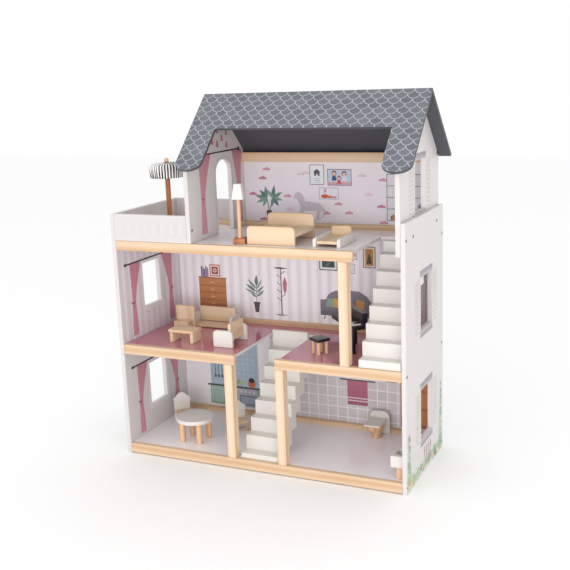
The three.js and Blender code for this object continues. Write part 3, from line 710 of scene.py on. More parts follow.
def palm(page, u, v):
    """A palm in a dark pot."""
    page.shape([(u - 4.5, v), (u + 4, v), (u + 6, v + 19), (u - 6, v + 19)], "5b4a50", 1)
    page.line((u, v + 18), (u - 4, v + 44), 2.0, "7f8f88", 1)
    page.line((u + 1, v + 18), (u + 9, v + 44), 2.0, "7f8f88", 1)
    fronds = [
        (-4, 44, -30, 48, 8), (-4, 44, -28, 34, 7), (-4, 44, -20, 60, 8), (-4, 44, -7, 68, 8),
        (-4, 44, -14, 26, 7), (9, 44, 13, 70, 8), (9, 44, 30, 56, 8), (9, 44, 31, 40, 7),
        (9, 44, 22, 28, 8), (9, 44, 6, 26, 7), (9, 44, -2, 60, 7),
    ]
    for i, (u0, v0, u1, v1, width) in enumerate(fronds):
        page.leaf((u + u0, v + v0), (u + u1, v + v1), width, ("6f9189", "86a69c", "5d7f78")[i % 3], 2)


def rocking_horse(page, u, v):
    """A pale rocking horse: head, neck, back, legs and rockers."""
    grey = "d0c9d2"
    page.shape(
        [(u - 34, v + 38), (u - 30, v + 47), (u - 22, v + 51), (u - 14, v + 45), (u - 8, v + 32),
         (u + 14, v + 30), (u + 24, v + 27), (u + 27, v + 14), (u - 18, v + 12), (u - 21, v + 28),
         (u - 27, v + 36)], grey)
    for foot in (-16, 20):
        x = u + foot
        page.shape([(x - 4, v + 14), (x - 6, v - 4), (x - 1, v - 4), (x + 6, v + 14)], grey)
    page.shape([(u + 24, v + 26), (u + 36, v + 14), (u + 32, v + 8), (u + 22, v + 20)], grey)
    angles = [math.radians(a) for a in range(215, 330, 10)]
    bend = [(u + 40 * math.cos(a), v + 26 + 34 * math.sin(a)) for a in angles]
    for start, end in zip(bend, bend[1:]):
        page.line(start, end, 2.4, grey)


def house_poster(page, u0, v0, u1, v1):
    """A poster with a small drawn house and three plain bars."""
    picture(page, u0, v0, u1, v1, "6f6a76", "eef0f4", 1.3)
    u, v = (u0 + u1) / 2, v1 - 17
    page.box(u - 6, v - 5, u + 6, v + 2, "5c5864", 2)
    page.shape([(u - 8, v + 2), (u + 8, v + 2), (u, v + 9)], "5c5864", 2)
    page.box(u - 1.4, v - 5, u + 1.4, v - 1, "eef0f4", 3)
    for row in range(3):
        page.box(u - 7 + row, v - 11 - row * 3.4, u + 7 - row, v - 10 - row * 3.4, "b5b1bd", 2)


def person(page, u, v, size, skin, hair, dress):
    """A small drawn figure with a plain face: a head, hair and shoulders."""
    page.oval(u, v, size * 1.25, size * 1.3, hair, 2, steps=14)
    page.oval(u, v - size * 0.25, size * 0.95, size * 0.95, skin, 3, steps=14)
    page.shape([(u - size * 1.3, v - size * 3.6), (u + size * 1.3, v - size * 3.6),
                (u + size * 0.8, v - size * 1.1), (u - size * 0.8, v - size * 1.1)], dress, 2)


def family_picture(page, u0, v0, u1, v1):
    picture(page, u0, v0, u1, v1, "7a5666", "c9d3e6", 1.2)
    page.box(u0 + 1.4, v0 + 1.4, u1 - 1.4, v0 + 7, "d9a7b4", 2)
    person(page, u0 + 14, v1 - 8, 4.0, "e9c0ae", "3a3038", "3f4f86")
    person(page, u0 + 35, v1 - 9, 4.0, "e9c0ae", "2f272c", "e8e3ea")
    person(page, u0 + 24, v1 - 17, 3.2, "e9c0ae", "6a4636", "c9545a")


def fox_picture(page, u0, v0, u1, v1):
    """A small landscape: a sleeping animal under a pale balloon."""
    picture(page, u0, v0, u1, v1, "bdb8c4", "e9eaf0", 1.4)
    page.oval(u0 + 12, v0 + 6, 8, 4, "d2603c", 2)
    page.oval(u0 + 22, v0 + 5, 7, 2.6, "db7a4c", 2)
    page.oval(u0 + 32, v0 + 4.4, 5.5, 2.2, "d98f98", 2)
    page.oval(u0 + 13, v0 + 17, 3.6, 4, "dca9b6", 2)
    page.line((u0 + 13, v0 + 10), (u0 + 13, v0 + 14), 0.6, "a98592", 2)


def shelf(page, u0, v0, u1, v1):
    """A tall open shelf with small things on it."""
    rim = "8f8a98"
    page.box(u0, v0, u1, v1, "e6e3ea")
    for u in (u0, u1 - 1.6, (u0 + u1) / 2):
        page.box(u, v0, u + 1.6, v1, rim, 1)
    for level in range(5):
        height = v0 + (v1 - v0 - 1.6) * level / 4
        page.box(u0, height, u1, height + 1.6, rim, 1)
    goods = ["8a5a74", "4b4550", "c77f93", "6f8f88", "b98a5c", "7d7a88", "a85f6a", "5f6f8f"]
    for i, code in enumerate(goods):
        u = u0 + 8 + (i % 4) * 18 + (i // 4) * 3
        v = v0 + 1.6 + (i * 3 % 4) * (v1 - v0 - 1.6) / 4
        page.box(u, v, u + 6, v + 8 + i % 3 * 3, code, 2)


def living_room_prints():
    """Middle back wall: dresser, plant, coat rack, pictures and a round-backed sofa."""
    page = back_print("living_room_print", "back_panel_middle")
    dresser(page, 54, 251, 119, 317)
    for i, code in enumerate(["6f5a86", "8a6b9a", "5e4c74", "7c5f8c", "9b6f86"]):
        page.box(60 + i * 3.7, 317, 63 + i * 3.7, 340 - i % 3 * 3, code, 1)
    picture(page, 81, 319, 106, 345, "c96a5c", "f3ece6", 2.4)
    page.box(86, 324, 101, 340, "9d4a44", 2)
    page.oval(93.5, 332, 4.4, 4.8, "f0ddd2", 3, steps=14)
    page.oval(93.5, 332, 2.2, 2.5, "9d4a44", 4, steps=12)
    house_plant(page, 190, 248)
    coat_rack(page, 247, 246)
    picture(page, 333, 346, 372, 386, "4a3f45", "eceaee", 1.8)
    page.box(339, 352, 366, 380, "3d4f48", 2)
    for u in (345, 356):
        page.box(u, 366, u + 4, 370, "dfe4de", 3)
    page.leaf((344, 354), (360, 364), 5, "5f776c", 3)
    picture(page, 426, 355, 452, 398, "8a6a52", "e8dccb", 1.8)
    page.box(431, 360, 447, 393, "b9823f", 2)
    page.shape([(433, 364), (445, 364), (439, 386)], "4b3a30", 3)
    picture(page, 399, 370, 414, 392, "8d7f8f", "efe6ea", 1.2)
    page.oval(406.5, 381, 4, 6, "c98b9b", 2, steps=12)
    picture(page, 397, 342, 409, 362, "a79aa8", "ece9ee", 1.0)
    round_sofa(page, 333, 245)
    page.finish()


def dresser(page, u0, v0, u1, v1):
    page.box(u0, v0, u1, v1, "c08457", 0, "b0764b")
    page.box(u0 - 1.5, v1 - 2.2, u1 + 1.5, v1, "a86d45", 1)
    rows = 4
    for row in range(rows):
        low = v0 + 2 + row * (v1 - v0 - 5) / rows
        high = low + (v1 - v0 - 5) / rows - 1.6
        page.box(u0 + 2, low, u1 - 2, high, "c98c5d", 1, "bd8053")
        page.box(u0 + 2, low - 1.4, u1 - 2, low - 0.3, "8f5b39", 1)
        page.oval((u0 + u1) / 2, (low + high) / 2, 5, 1.3, "e3bf94", 2, steps=10)


def house_plant(page, u, v):
    page.shape([(u - 4, v), (u + 4, v), (u + 7, v + 22), (u - 7, v + 22)], "62525c", 1)
    page.box(u - 7.6, v + 19, u + 7.6, v + 22, "544650", 2)
    page.line((u, v + 22), (u + 1, v + 60), 1.6, "6f7f78", 1)
    fronds = [
        (0, 56, 1, 80, 8), (0, 50, -20, 70, 6), (0, 44, -25, 60, 6), (0, 38, -27, 50, 5),
        (0, 32, -12, 40, 4), (1, 50, 13, 70, 4), (1, 42, 18, 58, 4), (1, 34, 18, 48, 6),
    ]
    for i, (u0, v0, u1, v1, width) in enumerate(fronds):
        page.leaf((u + u0, v + v0), (u + u1, v + v1), width, ("6d7f79", "879a92")[i % 2], 2)


def coat_rack(page, u, v):
    iron = "6a5560"
    page.line((u, v), (u, v + 99), 2.2, iron, 1)
    page.leaf((u - 16, v + 99), (u + 16, v + 99), 4, iron, 1)
    page.leaf((u - 15, v), (u + 14, v), 2.4, iron, 1)
    for i, height in enumerate((30, 47, 62, 78, 38, 86)):
        side = -1 if i < 4 else 1
        page.line((u, v + height), (u + side * 8, v + height + 6), 1.3, iron, 1)
        page.oval(u + side * 8, v + height + 6, 1.4, 1.4, iron, 1, steps=8)
    scarf = [(8, 82), (13, 68), (12, 52), (8, 45), (4, 54), (4, 68)]
    page.shape([(u + du, v + dv) for du, dv in scarf], "b8667c", 2, "c98696")
    page.line((u + 8, v + 62), (u + 8, v + 80), 0.6, "8e4a60", 3)


def round_sofa(page, u, v):
    """A grey sofa with a high round back and three cushions."""
    grey, deep = "8a8692", "6f6b78"
    back = [
        (0, 8), (0, 40), (12, 41), (18, 52), (32, 60), (56, 63),
        (84, 61), (100, 52), (109, 40), (111, 38), (104, 34), (104, 8),
    ]
    page.shape([(u + du, v + dv) for du, dv in back], grey, 0, "7c7885")
    page.box(u, v + 8, u + 104, v + 17, deep, 1)
    page.line((u + 16, v + 24), (u + 92, v + 24), 1.0, deep, 1)
    for foot in (8, 92):
        page.line((u + foot, v), (u + foot + 2, v + 9), 2.2, "5a4f57", 1)
    for centre, code in ((22, "93ab9c"), (37, "d9b45a"), (85, "d59a54")):
        x = u + centre
        page.shape([(x - 9, v + 26), (x + 8, v + 25), (x + 9, v + 43), (x - 7, v + 44)], code, 2)


def kitchen_prints():
    """Ground floor back wall, left: tiled kitchen wall, worktop, cupboards, oven, pot and utensils."""
    page = back_print("kitchen_print", "back_panel_ground")
    page.box(70, 78, 186, 204, "a9bdcd", 0)
    for column in range(11):
        page.box(70 + column * 11.4, 78, 70.8 + column * 11.4, 204, "c9d6e0", 1)
    for row in range(12):
        page.box(70, 84 + row * 11.4, 186, 84.8 + row * 11.4, "c9d6e0", 1)
    for i in range(5):
        u = 82 + i * 8
        page.line((u, 100), (u, 130), 1.4, "5c6470", 2)
        page.oval(u, 98, 2.8, 4.2, "5c6470", 2, steps=10)
    page.line((78, 132), (120, 132), 1.6, "4c515c", 2)
    page.box(62, 75, 190, 79, "4d5450", 2)
    page.box(68, 34, 134, 75, "9dbdb0", 1, "8fb0a4")
    for u in (71, 103):
        page.box(u, 39, u + 28, 71, "b3cfc4", 2)
        page.box(u + 2.5, 42, u + 25.5, 68, "a5c4b8", 3)
        page.line((u + 12, 66), (u + 16, 66), 1.2, "6f8a80", 4)
    page.box(135, 34, 184, 75, "b4b6c0", 1)
    page.box(139, 38, 180, 60, "7d8496", 2)
    page.box(142, 41, 177, 57, "a9b3c6", 3)
    for i in range(4):
        page.oval(143 + i * 10, 68, 2.0, 2.0, "e8e6ea", 2, steps=10)
    page.box(180, 34, 190, 75, "8fae9f", 1)
    page.oval(169, 87, 9, 8, "cf6f4a", 3)
    page.oval(169, 95, 7.4, 5.5, "3a3036", 4)
    page.oval(169, 100, 1.8, 1.8, "3a3036", 4, steps=8)
    page.leaf((138, 82), (152, 96), 7, "a9c58e", 3)
    page.leaf((134, 82), (140, 98), 6, "8fb07c", 3)
    bathroom_prints(page)
    page.finish()


def bathroom_prints(page):
    """The same wall behind the bathroom: towel on a rail, and a cupboard at the right."""
    page.line((372, 121), (447, 121), 2.6, "55505a", 4)
    page.box(387, 68, 431, 121, "bd7288", 2, "a9607a")
    for v in (76, 82):
        page.box(387, v, 431, v + 2.2, "ecd9df", 3)
    page.box(500, 34, 560, 150, "c07a4c", 1, "ad6a40")
    for v in (40, 77, 114):
        page.box(504, v, 556, v + 31, "cd8a5b", 2)
        page.oval(530, v + 15, 4, 1.4, "f0d7ad", 3, steps=10)
    page.box(470, 124, 494, 160, "8f98a6", 1)
    page.box(472, 126, 492, 158, "dfe6ee", 2)


def wall_stripes(page, low, high, opening):
    """Soft upright stripes on a side wall, kept clear of its window."""
    front, back, sill, head = opening
    pitch = 22.2
    for i in range(10):
        start = 12 + i * pitch
        end = start + pitch * 0.45
        spans = [(low, high)]
        if end > front - 1 and start < back + 1:
            spans = [(low, sill - 1), (head + 1, high)]
        for v0, v1 in spans:
            page.box(start, v0, end, v1, "ece6ed")
            page.box(start - 0.5, v0, start + 0.5, v1, "ddd6e0")


def left_wall_prints():
    """Inner face of the left wall: a curtained window on each floor."""
    inner = WALL / MM
    page = side_print("left_wall_print", inner, 1, "left_wall")
    windows = [(73, 162, 171, 93, 26), (282, 371, 379, 299, 233)]
    wall_stripes(page, MIDDLE_FLOOR + 0.5, ATTIC_FLOOR - 12, (85, 147, 282, 371))
    for sill, head, rod, tie, hem in windows:
        curtained_window(page, (85, 147, sill, head), (26, 208, rod), tie, hem)
    page.finish()
    page = side_print("right_wall_print", HOUSE_RIGHT - inner, -1, "right_wall")
    wall_stripes(page, MIDDLE_FLOOR + 0.5, ATTIC_FLOOR - 12, (89.5, 160.5, 276, 373))
    page.finish()


def left_gable_prints():
    """Inner face of the left gable: curtained doorway with a small triangle pattern above."""
    page = side_print("left_gable_print", right_face("left_gable"), 1, "left_gable")
    front, back, spring, crown = 109, 172, 550, 575
    for u0, u1 in ((front - 8, front - 0.5), (back + 0.5, back + 8)):
        page.box(u0, 434, u1, spring, "d3d0d5")
    middle, half = (front + back) / 2, (back - front) / 2
    steps = 14
    for i in range(steps):
        start, end = math.pi * i / steps, math.pi * (i + 1) / steps
        corners = ((0.5, start), (8, start), (8, end), (0.5, end))
        page.shape(
            [(middle + (half + out) * math.cos(a), spring + (crown - spring + out) * math.sin(a))
             for out, a in corners],
            "d3d0d5")
    for start, tie, hem in (((42, 91), (48, 62), (44, 66)), ((177, 219), (196, 210), (190, 214))):
        curtain(page, start, tie, hem, (589, 508, 442), "c98a97", "dba9b2", "b5717f")
        bow(page, (tie[0] + tie[1]) / 2, 508, "c27f8c", "8d4a5c")
    page.line((34, 590), (206, 590), 2.6, "2c262b", 4)
    page.oval(206, 590, 4.4, 4.4, "2c262b", 4, steps=12)
    for u, v in ((139, 616), (157, 602), (120, 606), (100, 612), (139, 640), (121, 632), (158, 626)):
        if v < 690 - abs(u - 119) * 0.97 - 14:
            page.shape([(u - 5, v - 6), (u + 5, v - 6), (u + 2.2, v + 6), (u - 2.2, v + 6)], "c4798a", 1)
    page.finish()


def shuttered(page, opening, lintel, sill, shutters):
    """Outer window dressing: two louvred shutters, a lintel and a sill with their shadows."""
    front, back, low, high = opening
    trim, shade = "8f8b8f", "b9b4b8"
    for u0, u1 in shutters:
        page.box(u0 - 2, low - 4, u1 + 2, high + 2, "e3dfe1")
        page.box(u0, low - 2, u1, high, "d5d0cb", 1, "dcd8d3")
        slats = int((high - low) / 7.5)
        for i in range(slats):
            v = low + 1 + i * (high - low - 2) / slats
            page.box(u0 + 3, v, u1 - 3, v + 1.4, "c4bfbb", 2)
    page.box(front - 4, lintel[0], back + 4, lintel[1], trim, 2, shade)
    page.box(front - 4, sill[0], back + 4, sill[1], shade, 2, trim)


def garden(page, start, end, seed):
    """Bushes, stems and flowers along the foot of an outer wall."""
    rng = random.Random(seed)
    greens = ["a9c3a4", "bccfb0", "93b39a", "c6d3b4", "7f9f86"]
    for i in range(24):
        u = start + 10 + (end - start - 20) * (i + 0.5) / 24
        size = 6 + rng.random() * 4
        page.oval(u, size + rng.random() * 12, size * 1.1, size, rng.choice(greens), 1, steps=12)
    for u, height in ((start + 14, 96), (end - 14, 134)):
        for level in range(10):
            size = 11 - level * 0.75
            side = rng.uniform(-3, 3)
            v = 14 + level * height / 10
            page.oval(u + side, v, size, size * 1.2, rng.choice(greens), 2, steps=12)
            page.leaf((u + side, v), (u - side * 3, 22 + level * height / 10), 5, "8fae93", 3)
    for i in range(4):
        u = start + (end - start) * (0.48 + i * 0.045)
        page.line((u, 12), (u - 5 + i * 3, 50), 2.2, "9a7c6e", 2)
        page.line((u - 2 + i, 32), (u - 8 + i * 5, 44), 1.3, "9a7c6e", 2)
    for i in range(16):
        u = start + 6 + (end - start - 12) * rng.random()
        code = rng.choice(["dd9b6c", "e0b48a", "d98f9c", "efd9a6"])
        v = 4 + rng.random() * 14
        for petal in range(5):
            angle = math.tau * petal / 5
            page.oval(u + 2.6 * math.cos(angle), v + 2.6 * math.sin(angle), 1.8, 1.8, code, 3, steps=6)
        page.oval(u, v, 1.4, 1.4, "f4e6b8", 4, steps=6)


def outer_wall_prints():
    """Outer faces of both side walls and of the right gable."""
    left = side_print("left_outer_print", 0, -1, "left_wall")
    right = side_print("right_outer_print", HOUSE_RIGHT, 1, "right_wall")
    for page, opening in ((left, (85, 147)), (right, (89.5, 160.5))):
        front, back = opening
        heads = (162, 371) if page is left else (165, 373)
        for head in heads:
            low = head - (89 if page is left else 97)
            sides = [(front - 37, front - 3), (back + 2, back + 36)]
            shuttered(page, (front, back, low, head), (head + 0.6, head + 13), (low - 12, low - 0.6), sides)
        garden(page, 2, HOUSE_DEPTH - 2, 7)
        page.finish()
    gable = side_print("gable_outer_print", right_face("right_gable"), 1, "right_gable")
    shuttered(gable, (88, 150, 489, 578), (578.6, 590), (485.6, 488.4), [(50, 84), (155, 186)])
    gable.finish()


def balcony_prints():
    """Outer faces of the two balcony rails: a quiet row of ovals and bars."""
    pages = [
        Print("balcony_front_print", at(0, 0, 0), (1, 0, 0), (0, -1, 0), "balcony_front_rail"),
        Print("balcony_inner_print", at(0, BACK_FACE, 0), (1, 0, 0), (0, -1, 0), "balcony_back_rail"),
    ]
    for page in pages:
        line = "dad5da"
        page.box(12, 478, 162, 479.2, line)
        page.box(12, 437, 162, 438.2, line)
        for i in range(8):
            u = 22 + i * 18.6
            angles = [math.tau * k / 20 for k in range(20)]
            page.ring([(u + 6.4 * math.cos(a), 458 + 17 * math.sin(a)) for a in angles], 0.9, line)
            page.box(u + 8.4, 440, u + 9.6, 476, line)
        page.finish()


# ---------------------------------------------------------------- the house

def house_boards():
    """Every board of the house, with its finish, its edge radius and the side that is printed."""
    faces_room = lambda normal: normal.y < -0.9
    faces_up = lambda normal: normal.z > 0.9
    faces_sky = lambda normal: normal.z > math.cos(ROOF_PITCH) - 0.05
    for node in ("left_wall", "right_wall", "left_gable", "right_gable"):
        board(node, WHITE_BOARD, 0.6)
    board("lower_stairs", WHITE_WOOD, 0.9)
    board("upper_stairs", WHITE_WOOD, 0.9)
    board("ground_floor", [WHITE_BOARD, GREY_FLOOR], 0.3, faces_up)
    board("middle_floor", [WHITE_BOARD, MAUVE_FLOOR], 0.3, faces_up)
    board("attic_floor", [WHITE_BOARD, GREY_FLOOR], 0.3, faces_up)
    board("back_panel_ground", [WHITE_BOARD, WHITE_TILES], 0.4, faces_room)
    board("back_panel_middle", [WHITE_BOARD, STRIPED_PAPER], 0.4, faces_room)
    board("back_panel_attic", [WHITE_BOARD, LAVENDER], 0.4, faces_room)
    board("balcony_front_rail", WHITE_BOARD, 0.5)
    board("balcony_back_rail", WHITE_BOARD, 0.5)
    lengthwise = [
        "ground_front_strip", "middle_front_strip_left", "middle_front_strip_right", "attic_front_strip",
        "ground_back_strip", "middle_back_strip", "attic_back_strip", "top_back_rail",
    ]
    for node in lengthwise:
        board(node, PINE_X, 0.8)
    for node in ("ground_post_left", "ground_post_right", "middle_post"):
        board(node, PINE_Z, 0.8)
    for node in ("roof_front_panel", "roof_back_panel"):
        board(node, [CHARCOAL, ROOF_SCALES], 0.7, faces_sky)


def screw_head(place, direction, size=3.0):
    """A countersunk screw with a cross recess, its head just proud of the board."""
    bm = turned([(0, -0.2), (size, -0.2), (size, 0.16), (size * 0.86, 0.3), (0, 0.34)], 20)
    for axis in ((1.7, 0.34), (0.34, 1.7)):
        slot = bmesh.new()
        bmesh.ops.create_cube(slot, size=1.0)
        bmesh.ops.scale(slot, vec=Vector((axis[0], axis[1], 0.1)) * MM * size / 2.2, verts=slot.verts)
        bmesh.ops.translate(slot, vec=(0, 0, 0.36 * MM), verts=slot.verts)
        bm = merged(bm, slot)
    turn = Vector((0, 0, 1)).rotation_difference(Vector(direction)).to_matrix().to_4x4()
    return moved(bm, Matrix.Translation(place) @ turn)


def screws():
    """The screws that hold the boards; each board's screws are one piece."""
    right, back = HOUSE_RIGHT, HOUSE_DEPTH
    sides = [(5, 12), (5, 217), (5, 454), (195, 459), (231, 12), (231, 217), (231, 430)]
    left_screws = [screw_head(at(0, y, z), (-1, 0, 0)) for y, z in sides]
    right_screws = [screw_head(at(right, y, z), (1, 0, 0)) for y, z in sides + [(46, 455)]]
    settle("left_wall_screws", merged(*left_screws), SCREW, "house", "screw_steel")
    settle("right_wall_screws", merged(*right_screws), SCREW, "house", "screw_steel")
    gable_places = [("left_gable", 7, 457), ("right_gable", 77, 484)]
    gable = [screw_head(at(right_face(node), y, z), (1, 0, 0), 2.6) for node, y, z in gable_places]
    settle("gable_screws", merged(*gable), SCREW, "house", "screw_steel")
    rear = [(x, z) for x in (40, 210, 380, 545) for z in (12, 216, 424)]
    behind = [screw_head(at(x, back, z), (0, 1, 0)) for x, z in rear]
    settle("back_screws", merged(*behind), SCREW, "house", "screw_steel")


# ---------------------------------------------------------------- balcony parasol

def parasol():
    stand = foot_of("parasol_stand")
    low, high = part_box("parasol_canopy")
    pole_top = (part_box("parasol_stand")[1].z - stand.z) / MM - 8.0
    disc = [(0, 0), (14.4, 0), (15, 0.7), (15, 5.0), (14.2, 6.6), (12.8, 7), (7.5, 7.2)]
    profile = disc + [(5.6, 8.0), (5, 9.5), (5, pole_top), (0, pole_top)]
    settle("parasol_pole", moved(turned(profile, 40), Matrix.Translation(stand)), COPPER_WOOD,
           "parasol", "copper_wood", ["parasol_stand"])
    ball = bmesh.new()
    bmesh.ops.create_uvsphere(ball, u_segments=28, v_segments=18, radius=4.6 * MM)
    neck = turned([(0, -5.4), (3.0, -5.4), (3.2, -4.4), (2.4, -3.6), (0, -3.4)], 24)
    top = Vector((stand.x, stand.y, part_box("parasol_stand")[1].z - 4.6 * MM))
    finial = moved(merged(ball, neck), Matrix.Translation(top))
    settle("parasol_finial", finial, BEECH_Z, "parasol", "plywood")
    canopy(stand, low, high)


def canopy(stand, low, high):
    """The gathered drum of cloth: pleated from the middle over a soft shoulder down to the hem."""
    radius = (high.x - low.x) / 2
    height = high.z - low.z
    pole = 5.2 * MM
    falls = [
        (pole, 0.985), (radius * 0.3, 1.0), (radius * 0.6, 0.985),
        (radius * 0.84, 0.95), (radius * 0.95, 0.87), (radius * 0.985, 0.72),
        (radius * 0.975, 0.5), (radius * 0.955, 0.25), (radius * 0.93, 0.0),
    ]
    steps = 216
    rng = random.Random(11)
    waves = ((36, 0.018), (17, 0.016), (7, 0.018), (3, 0.02))
    pleats = [(count, depth, rng.random()) for count, depth in waves]
    bm = bmesh.new()
    verts = [bm.verts.new((r, 0, low.z + share * height)) for r, share in falls]
    edges = [bm.edges.new(pair) for pair in zip(verts, verts[1:])]
    bmesh.ops.spin(bm, geom=verts + edges, cent=(0, 0, 0), axis=(0, 0, 1), dvec=(0, 0, 0),
                   angle=math.tau, steps=steps, use_merge=True, use_duplicate=False)
    bmesh.ops.recalc_face_normals(bm, faces=bm.faces)
    uv = bm.loops.layers.uv.new("UVMap")
    for face in bm.faces:
        middle = face.calc_center_median()
        around = math.atan2(middle.y, middle.x) / math.tau % 1.0
        for loop in face.loops:
            place = loop.vert.co
            turn = math.atan2(place.y, place.x) / math.tau % 1.0
            turn += round(around - turn)
            fall = (high.z - place.z + radius - place.xy.length) / (height + radius)
            loop[uv].uv = (turn, fall)
    for vert in bm.verts:
        reach = vert.co.xy.length / radius
        angle = math.atan2(vert.co.y, vert.co.x)
        drop = (high.z - vert.co.z) / height
        swell = sum(a * math.sin(n * angle + p * math.tau + drop * 0.9 * n / 9) for n, a, p in pleats)
        gather = reach ** 2
        vert.co.xy *= 1 + swell * gather - 0.05
        vert.co.z += swell * height * (0.55 * gather * (1 - drop) + 0.4 * drop)
    moved(bm, Matrix.Translation((stand.x, stand.y, 0)))
    area = sum(face.calc_area() for face in bm.faces)
    cloth = settle("parasol_cloth", bm, CLOTH, "parasol", "striped_cloth", ["parasol_canopy"], 80)
    cloth.modifiers.remove(cloth.modifiers["even_shading"])
    smooth = cloth.modifiers.new("fine", "SUBSURF")
    smooth.levels = smooth.render_levels = 1
    thick = cloth.modifiers.new("thickness", "SOLIDIFY")
    thick.thickness = 0.6 * MM
    thick.offset = -1
    width = math.tau * radius * 1.12
    area / width


# ---------------------------------------------------------------- furniture

def boxed_furniture():
    """Furniture whose boards keep their cut shape and only need rounded edges."""
    plan = {
        "bed_footboard": (PLY_X, 1.2), "bed_headboard": (PLY_X, 1.2), "bed_platform": (PLY_Y, 0.8),
        "lounger_rail_left": (WHITE_WOOD, 0.9), "lounger_rail_right": (WHITE_WOOD, 0.9),
        "lounger_seat": (PLY_Y, 0.7), "lounger_back": (PLY_X, 0.9),
        "coffee_table_top": (PLY_X, 1.0), "coffee_table_leg_left": (PLY_Z, 0.8),
        "coffee_table_leg_right": (PLY_Z, 0.8), "block_chair": (PLY_Z, 0.8),
        "sofa_left_end": (WHITE_WOOD, 1.1), "sofa_right_end": (WHITE_WOOD, 1.1),
        "sofa_seat": (PLY_X, 0.8), "sofa_back": (PLY_X, 0.9),
        "armchair_left_end": (WHITE_WOOD, 1.1), "armchair_right_end": (WHITE_WOOD, 1.1),
        "armchair_seat": (PLY_Y, 0.8), "armchair_back": (PLY_Y, 0.9),
        "toilet_back": (WHITE_WOOD, 1.1), "toilet_seat": (WHITE_WOOD, 1.2),
        "lamp_shade": (WHITE_WOOD, 0.35), "piano_body": (BLACK_WOOD, 0.7),
    }
    for node, (material, radius) in plan.items():
        board(node, material, radius)


def lamp():
    foot = foot_of("lamp_stand")
    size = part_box("lamp_stand")[1].z - foot.z
    base = block((-11.5, -11.5, 0), (11.5, 11.5, 10), 1.0)
    spot = turned_about(foot, 14)
    settle("lamp_base", moved(base, spot), COPPER_WOOD, "lamp", "copper_wood", ["lamp_stand"])
    collar = [(0, 9.8), (4.6, 9.8), (4.8, 10.4), (4.1, 11.6), (3.5, 12.2)]
    pole = turned(collar + [(3.5, size / MM), (0, size / MM)], 28)
    settle("lamp_pole", moved(pole, spot), BEECH_Z, "lamp", "plywood")


def leg(x, y, top, radius):
    """A round leg with slightly eased ends."""
    ease = 0.6
    profile = [(0, 0), (radius - ease, 0), (radius, ease), (radius, top), (0, top)]
    return moved(turned(profile, 24), Matrix.Translation((x * MM, y * MM, 0)))


def dining_table():
    low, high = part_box("dining_table")
    foot = foot_of("dining_table")
    radius = (high.x - low.x) / 2 / MM
    height = (high.z - low.z) / MM
    ease = 1.6
    under = height - 8
    rim = [(0, under), (radius - ease, under), (radius - 0.4, height - 7.6), (radius, height - 6.6)]
    rim += [(radius, height - ease), (radius - 0.5, height - 0.5), (radius - ease, height), (0, height)]
    spot = Matrix.Translation(foot)
    top = moved(turned(rim, 72), spot)
    settle("dining_table_top", top, WHITE_WOOD, "dining_table", "white_wood", ["dining_table"])
    legs = [leg(x, y, under, 6.0) for x in (-19, 19) for y in (-19, 19)]
    settle("dining_table_legs", moved(merged(*legs), spot), BEECH_Z, "dining_table", "plywood")


def chair_outline(width, shoulder, peak):
    """Waisted sides, hollow shoulders and a low crest."""
    half = width / 2
    side = [(half - 1.8 * math.sin(math.pi * t / 8), shoulder * t / 8) for t in range(9)]
    scoop = [(half * 0.82, shoulder + 1.2), (half * 0.64, shoulder + 3.0)]
    falls = ((0.5, 5.5), (0.44, 3.6), (0.3, 1.4), (0.15, 0.3))
    crest = [(half * out, peak - fall) for out, fall in falls]
    right = side + scoop + crest
    return right + [(0, peak)] + [(-u, v) for u, v in reversed(right)]


def dining_chairs():
    reach = (18.5 + 3.0) * math.sin(math.radians(45)) * MM
    for name in ("dining_chair_1", "dining_chair_2"):
        low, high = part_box(name)
        spot = turned_about(Vector((low.x + reach, high.y - reach, low.z)), 45)
        peak = (high.z - low.z) / MM
        back = cut_board(chair_outline(37, 48, peak), (-3, 3), 0.9)
        settle(name + "_back", moved(back, spot), WHITE_WOOD, name, "white_wood", [name])
        seat = block((-16.5, -30, 17), (16.5, -3.1, 22.5), 1.1)
        settle(name + "_seat", moved(seat, spot), PLY_Z, name, "plywood")
        legs = [leg(side * 12.3, -25.8, 17, 3.2) for side in (-1, 1)]
        settle(name + "_legs", moved(merged(*legs), spot), BEECH_Z, name, "plywood")


def stool():
    foot = foot_of("stool")
    spot = turned_about(foot, -34)
    seat = block((-14, -14, 25), (14, 14, 31), 1.2)
    settle("stool_seat", moved(seat, spot), BLACK_WOOD, "stool", "black_wood", ["stool"])
    legs = [leg(x, y, 25, 2.9) for x in (-8.5, 8.5) for y in (-8.5, 8.5)]
    settle("stool_legs", moved(merged(*legs), spot), BEECH_Z, "stool", "plywood")


def piano_keys():
    """White keys with black ones between them, along the near end of the piano's deck."""
    body_low, body_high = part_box("piano_body")
    middle = (body_low + body_high) / 2
    low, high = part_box("piano_keyboard")
    width, length = 34, 104  # of the piano's deck
    spot = turned_about(Vector((middle.x, middle.y, low.z)), 43)
    spot @= Matrix.Translation((-width / 2 * MM, -length / 2 * MM, 0))
    rise = (high.z - low.z) / MM
    count, start, end = 12, 4.0, 70.0
    pitch = (end - start) / count
    white = [
        block((2, start + i * pitch + 0.12, 0), (19, start + (i + 1) * pitch - 0.12, rise), 0.35, 1)
        for i in range(count)
    ]
    whites = moved(merged(*white), spot)
    settle("piano_white_keys", whites, WHITE_WOOD, "piano", "white_wood", ["piano_keyboard"])
    sharps = [start + (i + 1) * pitch for i in range(count - 1) if i % 7 not in (2, 6)]
    black = [block((8.5, y - 1.4, rise - 0.4), (18.6, y + 1.4, rise + 1.3), 0.35, 1) for y in sharps]
    settle("piano_black_keys", moved(merged(*black), spot), BLACK_WOOD, "piano", "black_wood")


